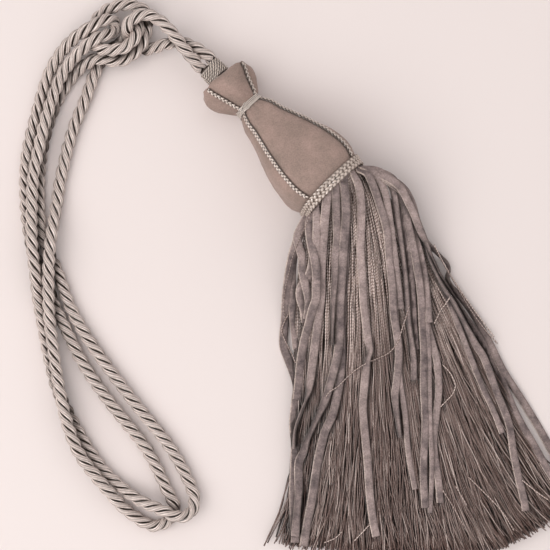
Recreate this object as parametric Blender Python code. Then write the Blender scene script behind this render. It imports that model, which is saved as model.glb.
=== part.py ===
"""Curtain tieback: a knotted twisted cord, a suede bell and a skirt of yarn and ribbon.

It lies on a table. The cord's two loops hook round a curtain and onto a wall hook, and the
bell with its skirt hangs from the knot. The origin is the point of the table below the
widest place of the bell. All sizes here are millimetres, and each object is built in metres.
"""

import math
import random

import bpy
from mathutils import Vector
from mathutils.geometry import delaunay_2d_cdt

METRES = 0.001
GAP = 0.35

# Finishes: colour, roughness, and the angle above which an edge stays sharp.
SUEDE = ((0.36, 0.28, 0.23), 0.9, 50.0)
SEAM_PLAIT = ((0.62, 0.53, 0.44), 0.5, 40.0)
WAIST_SILK = ((0.70, 0.63, 0.55), 0.4, 70.0)
BAND_GIMP = ((0.66, 0.57, 0.47), 0.45, 60.0)
WHIPPING_SILK = ((0.68, 0.60, 0.50), 0.45, 70.0)
ROPE_SILK = ((0.64, 0.54, 0.44), 0.4, 80.0)
YARN_SILK = ((0.40, 0.31, 0.25), 0.45, 60.0)
RIBBON_SUEDE = ((0.50, 0.42, 0.36), 0.5, 40.0)

# The bell's own frame: "along" runs from the collar to the base, "up" is its upper side.
BELL_TILT = math.radians(6.18)
BELL_TURN = math.radians(-45.0)
WIDEST_U = 78.0
WIDEST_HEIGHT = 24.4
ALONG = Vector((
    math.cos(BELL_TILT) * math.cos(BELL_TURN),
    math.cos(BELL_TILT) * math.sin(BELL_TURN),
    math.sin(BELL_TILT),
))
ACROSS = Vector((-math.sin(BELL_TURN), math.cos(BELL_TURN), 0.0))
UP = ALONG.cross(ACROSS)

# The bell's rounded-square section: a superellipse whose corners carry the four seams.
SQUARENESS = 2.8
FIRST_SEAM_DEG = -36.0
SEAM_COUNT = 4
BELL_SIDES = 36

# Rows of the bell's side, from the collar to the base: distance along it, half width of the
# panels, and the seams' distance from the axis as a share of that. Above the waist the
# panels swell past the seams, which run straight down from the collar's corners.
BELL_PROFILE = (
    (-1.4, 13.6, 1.32), (-0.5, 15.3, 1.17), (1.5, 16.6, 1.05), (4.0, 17.5, 0.96), (7.0, 17.5, 0.88),
    (10.0, 16.7, 0.84), (12.5, 15.6, 0.82), (15.0, 13.6, 0.85), (17.5, 11.8, 0.89), (20.0, 9.6, 0.97),
    (21.3, 7.8, 1.06), (23.7, 7.8, 1.08), (25.0, 8.9, 1.10), (27.2, 10.2, 1.10), (31.0, 12.2, 1.10),
    (37.3, 13.6, 1.10), (44.5, 16.2, 1.10), (51.6, 19.0, 1.10), (58.0, 21.0, 1.10), (66.6, 23.4, 1.10),
    (73.0, 24.4, 1.10), (78.0, 24.9, 1.10), (82.5, 24.5, 1.10), (86.0, 23.3, 1.10), (88.8, 21.8, 1.10),
    (91.4, 20.8, 1.10),
)
COLLAR_TOP_U = BELL_PROFILE[0][0]
BELL_BASE_U = BELL_PROFILE[-1][0]

BRAID_WIDTH = 3.4
BRAID_THICK = 1.5
BRAID_THIN = 0.5
BRAID_BUMP = 0.35
BRAID_SHOULDER_SIDE = 0.9
BRAID_SHOULDER_RISE = 0.66
BRAID_STEP = 3.0
BRAID_END_U = 87.8
SLOPE_REACH = 0.05
SHARPEST_MITRE = 0.6
WAIST_U = 22.5
WAIST_REACH = 4.5

WAIST_CORD_HALF = 0.95
WAIST_CORD_INNER = 9.8
WAIST_CORD_OUTER = 11.2
WAIST_CORD_TURNS = 3
WAIST_CORD_GROOVE = 0.45
RING_SIDES = 24

BAND_START_U = 88.3
BAND_END_U = 94.4
BAND_ROWS = 3
BAND_RIDGE = 2.0
BAND_LOW_RIDGE = 1.65
BAND_GROOVE = 1.3

WHIPPING_START_U = -12.6
WHIPPING_END_U = COLLAR_TOP_U - GAP
WHIPPING_HALF_WIDTH = 7.9
WHIPPING_NARROWING = 0.7
WHIPPING_HALF_HEIGHT = 4.9
WHIPPING_TURNS = 6
WHIPPING_GROOVE = 0.5
WHIPPING_SIDES = 16

ROPE_OUTER = 3.8
ROPE_GROOVE = 2.7
ROPE_PITCH = 22.0
ROPE_STEPS_PER_TURN = 6
ROPE_PLIES = 3

BACKING_START_U = BELL_BASE_U + GAP
BACKING_END_U = 94.9
YARN_BACKING_RADIUS = 15.5
RIBBON_BACKING_INNER = 15.9
RIBBON_BACKING_OUTER = 20.8
BACKING_SIDES = 32
MERGE_REACH = 0.00001
EDGE_SLACK = 0.001

# Rows of yarn locks, lowest first: place on the backing, locks in the row, height of the tips.
LOCK_ROWS = (
    (-10.6, 24, 0.0),
    (-3.7, 32, 2.9),
    (3.7, 32, 5.8),
    (10.6, 24, 8.7),
)
LOCK_ROOT_REACH = 13.8
LOCK_ROOT_WIDTH = 0.5
LOCK_ROOT_HEIGHT = 2.6
LOCK_STATIONS = (0.14, 0.38, 0.68, 1.0)
LOCK_FILL = 0.82
LOCK_MOST_WIDTH = 5.2
LOCK_HEIGHT = 2.4
LOCK_UNEVEN = 0.04
LOCK_SEED = 11

# The skirt's fan, left to right: place of the tips, direction there, direction at the root.
# Directions are degrees from -Y towards +X.
SKIRT_FAN = (
    (-11.5, -221.0, -1.0, -28.0),
    (20.7, -225.0, 2.0, 0.0),
    (62.5, -227.6, 6.0, 8.0),
    (107.2, -225.2, 16.0, 30.0),
    (152.0, -199.0, 33.0, 62.0),
)
FAN_STEP = 0.01
FAN_ROOT_PULL = 0.45
FAN_TIP_PULL = 0.9
FALL_SHARE = 0.85
FALL_POWER = 1.8

RIBBON_WIDTH = 5.2
RIBBON_THICK = 1.2
RIBBON_LEVEL_RADII = (16.85, 18.3, 19.75)
RIBBON_LEVEL_STEP = 1.7
RIBBON_CLEARANCE = 0.9
RIBBON_STEP = 13.0
RIBBON_TURN_LENGTH = 16.0
RIBBON_FALL_LENGTH = 95.0
YARN_TOP_CELL = 2.0
YARN_TOP_REACH = 6.0
ROOT_LENGTH = 6.0
HEIGHTS_PER_STEP = 4

# Ribbons: level above the yarn, root angle on the backing, then the places they pass over.
RIBBONS = (
    (0, -80, (-7, -29), (-10, -40), (-8, -50), (-7, -63), (-5, -75), (-8, -87)),
    (1, -60, (-4, -29), (-4, -37), (-2, -47), (0, -58), (0, -69), (-4, -85), (-7, -102),
     (-9, -117), (-12, -139), (-13, -163), (-14, -187), (-12, -209)),
    (0, -16, (5, -28), (4, -46), (4, -64), (2, -80), (-1, -103), (-3, -123), (-7, -138), (-10, -160)),
    (0, 8, (12, -28), (11, -46), (11, -66), (10, -89), (9, -115)),
    (2, 28, (17, -24), (16, -43), (15, -63), (14, -85), (13, -105), (9, -125), (2, -141),
     (-5, -157), (-9, -173), (-10, -194), (-12, -216)),
    (0, 30, (18, -22), (17, -40), (16, -69), (15, -104), (14, -126), (9, -145), (3, -163),
     (0, -184), (-4, -203), (-7, -222)),
    (1, 45, (26, -17), (26, -37), (26, -57), (28, -77), (32, -101), (30, -119), (28, -138),
     (30, -169), (33, -195), (36, -215)),
    (1, 63, (35, -15), (40, -30), (43, -51), (45, -75), (49, -101), (48, -122), (47, -138), (50, -156)),
    (0, 64, (36, -6), (44, -14), (49, -30), (52, -50), (54, -73), (56, -99), (57, -124),
     (53, -143), (55, -165), (58, -189)),
    (1, 81, (38, -3), (47, -14), (53, -26), (57, -43), (60, -66), (63, -92), (64, -117),
     (65, -145), (64, -173), (65, -199)),
    (0, 83, (40, -2), (51, -14), (58, -30), (63, -50), (67, -75), (70, -104), (72, -128),
     (70, -153), (71, -171), (74, -194)),
    (1, 99, (40, 0), (51, -8), (61, -22), (69, -44), (77, -66), (86, -83), (97, -107),
     (108, -132), (115, -153), (119, -173), (125, -200)),
    (0, 102, (42, 0), (55, -9), (65, -26), (74, -47), (83, -66), (92, -86), (102, -104),
     (112, -128), (122, -148), (133, -169), (143, -184)),
    (2, 90, (38, -1), (48, -7), (60, -21), (68, -40), (78, -50), (80, -57), (80, -63), (89, -77),
     (100, -94), (111, -115), (126, -139), (140, -160), (148, -174)),
)

# The cord's route: out of the whipping, through the knot, round both hook loops and back.
ROPE_ROUTE = (
    (-67.0, 61.1, 14.6), (-69.1, 63.4, 14.9), (-71.5, 66.5, 16.4), (-76.4, 71.8, 19.0), (-81.3, 78.3, 21.0),
    (-86.5, 84.6, 22.5), (-92.6, 89.9, 22.5), (-99.0, 92.6, 23.7), (-104.2, 91.6, 24.7), (-108.6, 88.8, 23.7),
    (-110.9, 85.0, 21.3), (-111.3, 82.0, 13.7), (-115.2, 78.9, 7.0), (-120.2, 76.2, 4.2), (-124.4, 72.1, 4.0),
    (-128.3, 67.3, 4.0),
    # Down to the first hook loop, over the runs beside it.
    (-132.2, 59.5, 4.0), (-136.9, 45.8, 4.0), (-144.7, 26.7, 4.0), (-152.2, -3.2, 4.0), (-154.1, -16.4, 5.0),
    (-157.5, -42.8, 11.9), (-158.4, -63.0, 12.2), (-157.9, -82.5, 12.0), (-156.9, -93.8, 11.2),
    (-153.8, -116.3, 12.0), (-148.2, -144.2, 12.0), (-140.6, -165.3, 11.0), (-128.9, -181.5, 9.8),
    (-123.3, -188.1, 9.4), (-110.9, -201.8, 4.6), (-95.1, -210.0, 4.0),
    # Back up to the knot.
    (-84.4, -203.1, 4.0), (-84.4, -196.9, 4.0), (-87.9, -189.7, 4.0), (-100.1, -165.2, 4.0), (-123.8, -134.7, 4.0),
    (-139.9, -110.8, 4.0), (-151.0, -88.1, 4.0), (-154.9, -80.3, 4.0), (-158.5, -70.8, 4.0), (-169.8, -40.9, 4.0),
    (-172.9, 5.7, 4.0), (-164.4, 43.3, 4.5), (-158.9, 59.2, 7.0), (-152.2, 70.0, 11.0), (-143.3, 79.0, 16.0),
    (-132.8, 85.6, 19.8), (-125.9, 89.7, 18.0), (-120.7, 91.1, 14.5), (-118.6, 88.5, 12.0), (-119.7, 84.8, 12.8),
    (-122.3, 82.2, 16.5),
    # Down to the second hook loop.
    (-128.0, 79.6, 20.3), (-135.2, 74.7, 19.6), (-149.1, 60.9, 12.0), (-158.3, 37.9, 11.6), (-164.2, 14.1, 11.8),
    (-167.0, 1.1, 11.4), (-168.3, -14.3, 11.2), (-168.1, -41.0, 12.0), (-165.9, -63.0, 10.2), (-165.3, -72.5, 6.6),
    (-164.1, -82.1, 4.4), (-156.1, -121.6, 4.0), (-152.5, -132.3, 4.0), (-131.6, -170.0, 4.0), (-119.9, -183.3, 4.5),
    (-104.9, -193.8, 8.6), (-89.2, -200.2, 12.3), (-82.7, -203.1, 12.3), (-77.1, -203.0, 11.0),
    # Up to the knot again, below the others.
    (-73.3, -200.0, 9.2), (-72.1, -194.7, 7.0), (-73.8, -187.5, 5.0), (-85.3, -165.2, 4.0), (-110.7, -132.9, 4.0),
    (-134.9, -99.4, 4.0), (-146.2, -79.7, 4.0), (-153.7, -58.8, 4.0), (-161.7, -40.9, 4.0), (-164.1, -30.7, 4.0),
    (-165.0, -6.2, 4.0), (-162.6, 17.7, 4.0), (-155.2, 41.6, 4.0), (-144.1, 59.5, 4.3), (-131.4, 67.6, 11.2),
    # Twice round the knot, then back to the whipping.
    (-125.4, 68.0, 12.0), (-120.3, 66.9, 12.0), (-115.0, 67.2, 12.0), (-109.1, 70.1, 12.0), (-104.0, 75.2, 12.0),
    (-101.1, 81.5, 11.5), (-100.0, 88.2, 10.0), (-100.4, 95.6, 8.5), (-106.1, 99.7, 9.0), (-112.5, 100.6, 10.3),
    (-118.9, 99.3, 11.0), (-124.9, 96.4, 11.0), (-129.6, 91.9, 11.0), (-132.9, 86.0, 11.0), (-132.6, 79.4, 11.2),
    (-128.4, 73.8, 16.5), (-122.9, 72.1, 19.3), (-116.8, 72.5, 20.8), (-111.0, 74.5, 20.8), (-106.9, 79.0, 20.3),
    (-104.8, 84.8, 16.8), (-105.3, 90.2, 14.5), (-108.1, 91.9, 9.0), (-109.7, 89.2, 5.0), (-109.5, 82.8, 4.0),
    (-106.2, 76.6, 4.0), (-100.4, 74.5, 5.2), (-93.6, 75.9, 8.2), (-86.9, 77.4, 11.0), (-80.3, 77.4, 12.7),
    (-74.3, 76.2, 13.3), (-68.7, 73.1, 14.0), (-63.4, 69.2, 14.4), (-61.2, 67.0, 14.6),
)
ROUTE_SAMPLES = 14


# ---- small geometry helpers ----

def bell_point(u, across, up):
    """A point in the bell's own frame."""
    centre = Vector((0.0, 0.0, WIDEST_HEIGHT)) + ALONG * (u - WIDEST_U)
    return centre + ACROSS * across + UP * up


def on_floor(point):
    """The point, lifted to the table where it would sink into it."""
    return Vector((point.x, point.y, max(point.z, 0.0)))


def rounded_square(angle):
    """Radius of a rounded square whose sides are one from its middle. Angles run from up to across."""
    turned = angle - math.radians(FIRST_SEAM_DEG + 45.0)
    total = abs(math.cos(turned)) ** SQUARENESS + abs(math.sin(turned)) ** SQUARENESS
    return total ** (-1.0 / SQUARENESS)


def seam_share(angle):
    """1 on a seam, 0 in the middle of a panel."""
    return (rounded_square(angle) - 1.0) / (rounded_square(math.radians(FIRST_SEAM_DEG)) - 1.0)


def profile_value(u, column):
    """A column of the bell's profile at a distance along it."""
    for low, high in zip(BELL_PROFILE, BELL_PROFILE[1:]):
        if u <= high[0]:
            return low[column] + (high[column] - low[column]) * (u - low[0]) / (high[0] - low[0])
    return BELL_PROFILE[-1][column]


def bell_radius(u, angle):
    """Distance of the bell's side from its axis."""
    return profile_value(u, 1) * (1.0 + (profile_value(u, 2) - 1.0) * seam_share(angle))


def bell_side(u, angle, outward=0.0):
    """A point on the bell's side, or that far outside it."""
    radius = bell_radius(u, angle) + outward
    return bell_point(u, radius * math.sin(angle), radius * math.cos(angle))


def smooth_curve(points, samples):
    """A smooth curve through the points, for points at uneven distances."""
    points = [Vector(p) for p in points]
    padded = [points[0] * 2 - points[1], *points, points[-1] * 2 - points[-2]]
    curve = []
    for p0, p1, p2, p3 in zip(padded, padded[1:], padded[2:], padded[3:]):
        t1 = math.sqrt((p1 - p0).length)
        t2 = t1 + math.sqrt((p2 - p1).length)
        t3 = t2 + math.sqrt((p3 - p2).length)
        for step in range(samples):
            t = t1 + (t2 - t1) * step / samples
            a1 = p0.lerp(p1, t / t1)
            a2 = p1.lerp(p2, (t - t1) / (t2 - t1))
            a3 = p2.lerp(p3, (t - t2) / (t3 - t2))
            b1 = a1.lerp(a2, t / t2)
            b2 = a2.lerp(a3, (t - t1) / (t3 - t1))
            curve.append(b1.lerp(b2, (t - t1) / (t2 - t1)))
    curve.append(points[-1])
    return curve


def even_points(curve, step):
    """Points along a curve about one step apart, its two ends among them."""
    reach = [0.0]
    for a, b in zip(curve, curve[1:]):
        reach.append(reach[-1] + (b - a).length)
    count = max(2, round(reach[-1] / step) + 1)
    found = []
    at = 0
    for index in range(count):
        target = reach[-1] * index / (count - 1)
        while at < len(curve) - 2 and reach[at + 1] < target:
            at += 1
        part = (target - reach[at]) / (reach[at + 1] - reach[at])
        found.append(curve[at].lerp(curve[at + 1], min(1.0, part)))
    return found


def directions(points):
    """The unit direction of a run of points at each of them."""
    last = len(points) - 1
    return [(points[min(i + 1, last)] - points[max(i - 1, 0)]).normalized() for i in range(last + 1)]


def smoothstep(value):
    value = min(1.0, max(0.0, value))
    return value * value * (3.0 - 2.0 * value)


def between(rows, place, column):
    """A column's value at a place from 0 to 1 along the rows, smooth at each row."""
    at = place * (len(rows) - 1)
    row = min(int(at), len(rows) - 2)
    part = at - row
    values = [rows[min(max(row + k, 0), len(rows) - 1)][column] for k in (-1, 0, 1, 2)]
    before, start, end, after = values
    slope_0 = (end - before) / 2
    slope_1 = (after - start) / 2
    cube, square = part ** 3, part ** 2
    return (
        start * (2 * cube - 3 * square + 1) + slope_0 * (cube - 2 * square + part)
        + end * (3 * square - 2 * cube) + slope_1 * (cube - square)
    )


def plain_material(name, color, roughness):
    """A material of one colour."""
    material = bpy.data.materials.new(name)
    material.use_nodes = True
    shader = material.node_tree.nodes["Principled BSDF"]
    shader.inputs["Base Color"].default_value = (*color, 1.0)
    shader.inputs["Roughness"].default_value = roughness
    shader.inputs["Metallic"].default_value = 0.0
    return material


def make_object(name, points, faces, finish):
    """One named object, from points in millimetres."""
    color, roughness, sharp_deg = finish
    mesh = bpy.data.meshes.new(name)
    mesh.from_pydata([point * METRES for point in points], [], faces)
    mesh.validate()
    mesh.materials.append(plain_material(name + "_finish", color, roughness))
    mesh.shade_smooth()
    mesh.set_sharp_from_angle(angle=math.radians(sharp_deg))
    piece = bpy.data.objects.new(name, mesh)
    bpy.context.scene.collection.objects.link(piece)
    return piece


def loft(rings, closed=False):
    """Points and faces of a skin over rings of equal size, capped at both ends unless closed."""
    size = len(rings[0])
    count = len(rings)
    points = [point for ring in rings for point in ring]
    faces = []
    for ring in range(count if closed else count - 1):
        following = (ring + 1) % count
        for side in range(size):
            beside = (side + 1) % size
            faces.append((
                ring * size + side, ring * size + beside,
                following * size + beside, following * size + side,
            ))
    if not closed:
        faces.append(tuple(reversed(range(size))))
        faces.append(tuple((count - 1) * size + side for side in range(size)))
    return points, faces


# ---- the bell and what trims it ----

def section_angles(sides):
    """Angles round the bell, with each seam on one of them. They run so that a loft faces out."""
    first = math.radians(FIRST_SEAM_DEG)
    return [first - math.tau * side / sides for side in range(sides)]


def make_bell():
    """The stuffed suede bell with its collar and waist."""
    rings = [
        [on_floor(bell_side(u, angle)) for angle in section_angles(BELL_SIDES)]
        for u, _, _ in BELL_PROFILE
    ]
    make_object("bell", *loft(rings), SUEDE)


def seam_line(seam):
    """Places along one seam: point on the suede, outward direction and sideways direction."""
    angle = math.radians(FIRST_SEAM_DEG + 360.0 * seam / SEAM_COUNT)
    stations = []
    for (u0, _, _), (u1, _, _) in zip(BELL_PROFILE, BELL_PROFILE[1:]):
        end = min(u1, BRAID_END_U)
        steps = max(1, round((end - u0) / BRAID_STEP))
        stations += [u0 + (end - u0) * step / steps for step in range(steps)]
        if end == BRAID_END_U:
            break
    stations.append(BRAID_END_U)
    stations[0] = COLLAR_TOP_U + GAP
    outward = ACROSS * math.sin(angle) + UP * math.cos(angle)
    sideways = ACROSS * math.cos(angle) - UP * math.sin(angle)
    line = []
    for u in stations:
        slope_in = (bell_radius(u, angle) - bell_radius(u - SLOPE_REACH, angle)) / SLOPE_REACH
        slope_out = (bell_radius(u + SLOPE_REACH, angle) - bell_radius(u, angle)) / SLOPE_REACH
        normal_in = (outward - ALONG * slope_in).normalized()
        normal_out = (outward - ALONG * slope_out).normalized()
        normal = (normal_in + normal_out).normalized()
        spread = 1.0 / max(SHARPEST_MITRE, normal.dot(normal_in))
        line.append((u, bell_side(u, angle), normal * spread, sideways))
    return line


def make_seam_braid(seam):
    """One plaited braid over a seam, pressed thin where the waist cord crosses it."""
    half = BRAID_WIDTH / 2
    rings = []
    for index, (u, place, normal, sideways) in enumerate(seam_line(seam)):
        pressed = smoothstep((abs(u - WAIST_U) - WAIST_REACH / 2) / WAIST_REACH)
        thick = BRAID_THIN + (BRAID_THICK - BRAID_THIN) * pressed
        bump = BRAID_BUMP * pressed * (1 if index % 2 else -1)
        section = (
            (-half, 0.0), (half, 0.0),
            (half * BRAID_SHOULDER_SIDE, (thick + bump) * BRAID_SHOULDER_RISE), (0.0, thick),
            (-half * BRAID_SHOULDER_SIDE, (thick - bump) * BRAID_SHOULDER_RISE),
        )
        rings.append([
            on_floor(place + normal * (GAP + height) + sideways * side) for side, height in section
        ])
    make_object(f"seam_braid_{seam + 1}", *loft(rings), SEAM_PLAIT)


def make_turned_ring(name, outline, finish):
    """A ring round the bell's axis. The outline holds distance along and radius."""
    rings = []
    for side in range(RING_SIDES):
        angle = -math.tau * side / RING_SIDES
        rings.append([
            bell_point(u, radius * math.sin(angle), radius * math.cos(angle)) for u, radius in outline
        ])
    make_object(name, *loft(rings, closed=True), finish)


def make_waist_cord():
    """Three turns of thin cord pulled tight round the waist."""
    start = WAIST_U - WAIST_CORD_HALF
    turn = 2 * WAIST_CORD_HALF / WAIST_CORD_TURNS
    outline = [(start, WAIST_CORD_INNER), (start + 2 * WAIST_CORD_HALF, WAIST_CORD_INNER)]
    for index in range(2 * WAIST_CORD_TURNS, -1, -1):
        drop = 0.0 if index % 2 else WAIST_CORD_GROOVE
        outline.append((start + index * turn / 2, WAIST_CORD_OUTER - drop))
    make_turned_ring("waist_cord", outline, WAIST_SILK)


def make_base_band():
    """The plaited gimp band round the bell's base, its plaits raised in turn."""
    count = 2 * BAND_ROWS
    stations = [BAND_START_U + (BAND_END_U - BAND_START_U) * index / count for index in range(count + 1)]
    rings = []
    for number, angle in enumerate(section_angles(BELL_SIDES)):
        ring = []
        for u in (BAND_START_U, BELL_BASE_U, BAND_END_U):
            ring.append(on_floor(bell_side(u, angle, GAP)))
        for index in range(count, -1, -1):
            u = stations[index]
            outward = BAND_GROOVE
            if index % 2:
                outward = BAND_RIDGE if (number + index // 2) % 2 else BAND_LOW_RIDGE
            ring.append(on_floor(bell_side(u, angle, outward)))
        rings.append(ring)
    make_object("base_band", *loft(rings, closed=True), BAND_GIMP)


def make_whipping():
    """The oval binding that holds both ends of the cord above the collar."""
    count = 2 * WHIPPING_TURNS
    rings = []
    for index in range(count + 1):
        u = WHIPPING_START_U + (WHIPPING_END_U - WHIPPING_START_U) * index / count
        drop = 0.0 if index % 2 else WHIPPING_GROOVE
        half_width = WHIPPING_HALF_WIDTH - WHIPPING_NARROWING * (1.0 - index / count)
        ring = []
        for side in range(WHIPPING_SIDES):
            angle = -math.tau * side / WHIPPING_SIDES
            across = (half_width - drop) * math.sin(angle)
            up = (WHIPPING_HALF_HEIGHT - drop) * math.cos(angle)
            ring.append(bell_point(u, across, up))
        rings.append(ring)
    make_object("whipping", *loft(rings), WHIPPING_SILK)


# ---- the cord ----

def make_rope():
    """The three-ply cord, laid left over right, from the whipping round both loops and back."""
    path = even_points(smooth_curve(ROPE_ROUTE, ROUTE_SAMPLES), ROPE_PITCH / ROPE_STEPS_PER_TURN)
    ways = directions(path)
    ways[0] = -ALONG
    ways[-1] = ALONG
    side = ways[0].cross(UP).normalized()
    rings = []
    corners = 2 * ROPE_PLIES
    for index, (place, way) in enumerate(zip(path, ways)):
        side = (side - way * side.dot(way)).normalized()
        other = way.cross(side)
        turn = -math.tau * index / ROPE_STEPS_PER_TURN
        ring = []
        for corner in range(corners):
            angle = turn + math.tau * corner / corners
            radius = ROPE_GROOVE if corner % 2 else ROPE_OUTER
            ring.append(on_floor(place + (side * math.cos(angle) + other * math.sin(angle)) * radius))
        rings.append(ring)
    make_object("rope", *loft(rings), ROPE_SILK)


# ---- the skirt ----

class Backing:
    """A flat disc or ring behind the skirt, whose front face lets strands out of it."""

    def __init__(self, outer, inner=0.0):
        self.outer = outer
        self.inner = inner
        self.points = []
        self.faces = []
        self.roots = []

    def add_point(self, point):
        self.points.append(on_floor(point))
        return len(self.points) - 1

    def add_strand(self, root, rings):
        """A strand from a root outline on the front face (across, up), through rings of points."""
        self.roots.append((root, rings))

    def circle(self, radius):
        return [
            (radius * math.sin(math.tau * k / BACKING_SIDES), radius * math.cos(math.tau * k / BACKING_SIDES))
            for k in range(BACKING_SIDES)
        ]

    def build(self):
        """Fills points and faces: the front round the roots, the sides, the back, the strands."""
        flat = []
        edges = []
        outlines = [self.circle(self.outer)]
        if self.inner:
            outlines.append(self.circle(self.inner))
        outlines += [root for root, _ in self.roots]
        for outline in outlines:
            first = len(flat)
            flat += [Vector(point) for point in outline]
            edges += [(first + k, first + (k + 1) % len(outline)) for k in range(len(outline))]
        corners, _, triangles, _, _, _ = delaunay_2d_cdt(flat, edges, [], 1, MERGE_REACH)
        front = [self.add_point(bell_point(BACKING_END_U, p.x, p.y)) for p in corners]
        for triangle in triangles:
            centre = sum((corners[k] for k in triangle), Vector((0.0, 0.0))) / 3
            if not self.is_open(centre):
                self.faces.append([front[k] for k in triangle])
        self.add_sides(flat, front, corners)
        for root, rings in self.roots:
            self.grow(root, rings, front, corners)
        return self.points, self.faces

    def is_open(self, point):
        """Whether a place on the front face is a root or lies outside the backing."""
        if self.inner and point.length < self.inner * math.cos(math.pi / BACKING_SIDES) - EDGE_SLACK:
            return True
        return any(inside(point, root) for root, _ in self.roots)

    def find(self, place, front, corners):
        """The front face's point at a place."""
        spot = Vector(place)
        nearest = min(range(len(corners)), key=lambda k: (corners[k] - spot).length_squared)
        return front[nearest]

    def add_sides(self, flat, front, corners):
        """The rim, the hole's wall and the back face."""
        outer = [self.find(flat[k], front, corners) for k in range(BACKING_SIDES)]
        back_outer = [self.add_point(bell_point(BACKING_START_U, *place)) for place in self.circle(self.outer)]
        for k in range(BACKING_SIDES):
            beside = (k + 1) % BACKING_SIDES
            self.faces.append((outer[k], outer[beside], back_outer[beside], back_outer[k]))
        if not self.inner:
            self.faces.append(tuple(back_outer))
            return
        inner = [self.find(flat[BACKING_SIDES + k], front, corners) for k in range(BACKING_SIDES)]
        back_inner = [self.add_point(bell_point(BACKING_START_U, *place)) for place in self.circle(self.inner)]
        for k in range(BACKING_SIDES):
            beside = (k + 1) % BACKING_SIDES
            self.faces.append((inner[beside], inner[k], back_inner[k], back_inner[beside]))
            self.faces.append((back_outer[k], back_outer[beside], back_inner[beside], back_inner[k]))

    def grow(self, root, rings, front, corners):
        """The sides and the end of one strand."""
        last = [self.find(place, front, corners) for place in root]
        size = len(last)
        for ring in rings:
            fresh = [self.add_point(point) for point in ring]
            for k in range(size):
                beside = (k + 1) % size
                self.faces.append((last[k], last[beside], fresh[beside], fresh[k]))
            last = fresh
        self.faces.append(tuple(last))


def inside(point, outline):
    """Whether a flat point lies inside a convex outline."""
    signs = set()
    for (ax, ay), (bx, by) in zip(outline, outline[1:] + outline[:1]):
        signs.add((bx - ax) * (point.y - ay) - (by - ay) * (point.x - ax) > 0)
    return len(signs) == 1


def fan_path(place, root_across, root_up, t):
    """Plan position in the skirt's fan, from the root (t = 0) to the tip (t = 1)."""
    root = bell_point(BACKING_END_U, root_across, root_up).to_2d()
    tip = Vector((between(SKIRT_FAN, place, 0), between(SKIRT_FAN, place, 1)))
    tip_way = math.radians(between(SKIRT_FAN, place, 2))
    root_way = math.radians(between(SKIRT_FAN, place, 3))
    span = (tip - root).length
    pull_0 = Vector((math.sin(root_way), -math.cos(root_way))) * span * FAN_ROOT_PULL
    pull_1 = Vector((math.sin(tip_way), -math.cos(tip_way))) * span * FAN_TIP_PULL
    cube, square = t ** 3, t ** 2
    return (
        root * (2 * cube - 3 * square + 1) + pull_0 * (cube - 2 * square + t)
        + tip * (3 * square - 2 * cube) + pull_1 * (cube - square)
    )


def lock_rings(row, place, ds, reach):
    """Rings of one lock: flat side down, its crest above."""
    root_up, _, tip_height = LOCK_ROWS[row]
    half_chord = math.sqrt(LOCK_ROOT_REACH ** 2 - root_up ** 2)
    root_height = bell_point(BACKING_END_U, 0.0, root_up - LOCK_ROOT_HEIGHT / 2).z

    def plan(s, t):
        return fan_path(s, half_chord * (2 * s - 1), root_up, t)

    rings = []
    crest = []
    for station in LOCK_STATIONS:
        t = station * reach
        here = plan(place, t)
        way = (plan(place, t + FAN_STEP) - plan(place, t - FAN_STEP)).normalized()
        beside = Vector((-way.y, way.x))
        low, high = max(0.0, place - ds / 2), min(1.0, place + ds / 2)
        spread = abs((plan(high, t) - plan(low, t)).dot(beside)) * ds / (high - low)
        half = min(LOCK_MOST_WIDTH, spread * LOCK_FILL) / 2
        fallen = 1.0 - (1.0 - min(1.0, t / FALL_SHARE)) ** FALL_POWER
        base = root_height + (tip_height - root_height) * fallen
        left = (here - beside * half).to_3d() + Vector((0, 0, base))
        right = (here + beside * half).to_3d() + Vector((0, 0, base))
        top = here.to_3d() + Vector((0, 0, base + LOCK_HEIGHT))
        rings.append([left, right, top])
        crest.append(top)
    return rings, crest


def make_yarn_skirt():
    """Rows of yarn locks on one backing. Returns the crest line of each lock."""
    draw = random.Random(LOCK_SEED)
    backing = Backing(YARN_BACKING_RADIUS)
    crests = []
    for row, (root_up, count, _) in enumerate(LOCK_ROWS):
        half_chord = math.sqrt(LOCK_ROOT_REACH ** 2 - root_up ** 2)
        for number in range(count):
            place = number / (count - 1)
            reach = 1.0 - LOCK_UNEVEN * draw.random()
            rings, crest = lock_rings(row, place, 1.0 / (count - 1), reach)
            v = half_chord * (2 * place - 1)
            half = LOCK_ROOT_WIDTH / 2
            root = [
                (v - half, root_up - LOCK_ROOT_HEIGHT / 2), (v + half, root_up - LOCK_ROOT_HEIGHT / 2),
                (v, root_up + LOCK_ROOT_HEIGHT / 2),
            ]
            backing.add_strand(root, rings)
            crests.append([bell_point(BACKING_END_U, v, root_up + LOCK_ROOT_HEIGHT / 2), *crest])
    make_object("yarn_skirt", *backing.build(), YARN_SILK)
    return crests


def yarn_tops(crests):
    """The height of the yarn's top on a grid of cells, for the ribbons to lie on."""
    tops = {}
    reach = int(YARN_TOP_REACH / YARN_TOP_CELL)
    for crest in crests:
        for a, b in zip(crest, crest[1:]):
            steps = max(1, int((b - a).length / YARN_TOP_CELL))
            for step in range(steps + 1):
                point = a.lerp(b, step / steps)
                cell = (round(point.x / YARN_TOP_CELL), round(point.y / YARN_TOP_CELL))
                tops[cell] = max(tops.get(cell, 0.0), point.z)
    spread = {}
    for (i, j), height in tops.items():
        for di in range(-reach, reach + 1):
            for dj in range(-reach, reach + 1):
                cell = (i + di, j + dj)
                spread[cell] = max(spread.get(cell, 0.0), height)
    return spread


def near(values, index, reach):
    """The values up to a few places before and after one of them."""
    return values[max(0, index - reach):index + reach + 1]


def mean(values):
    return sum(values) / len(values)


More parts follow.
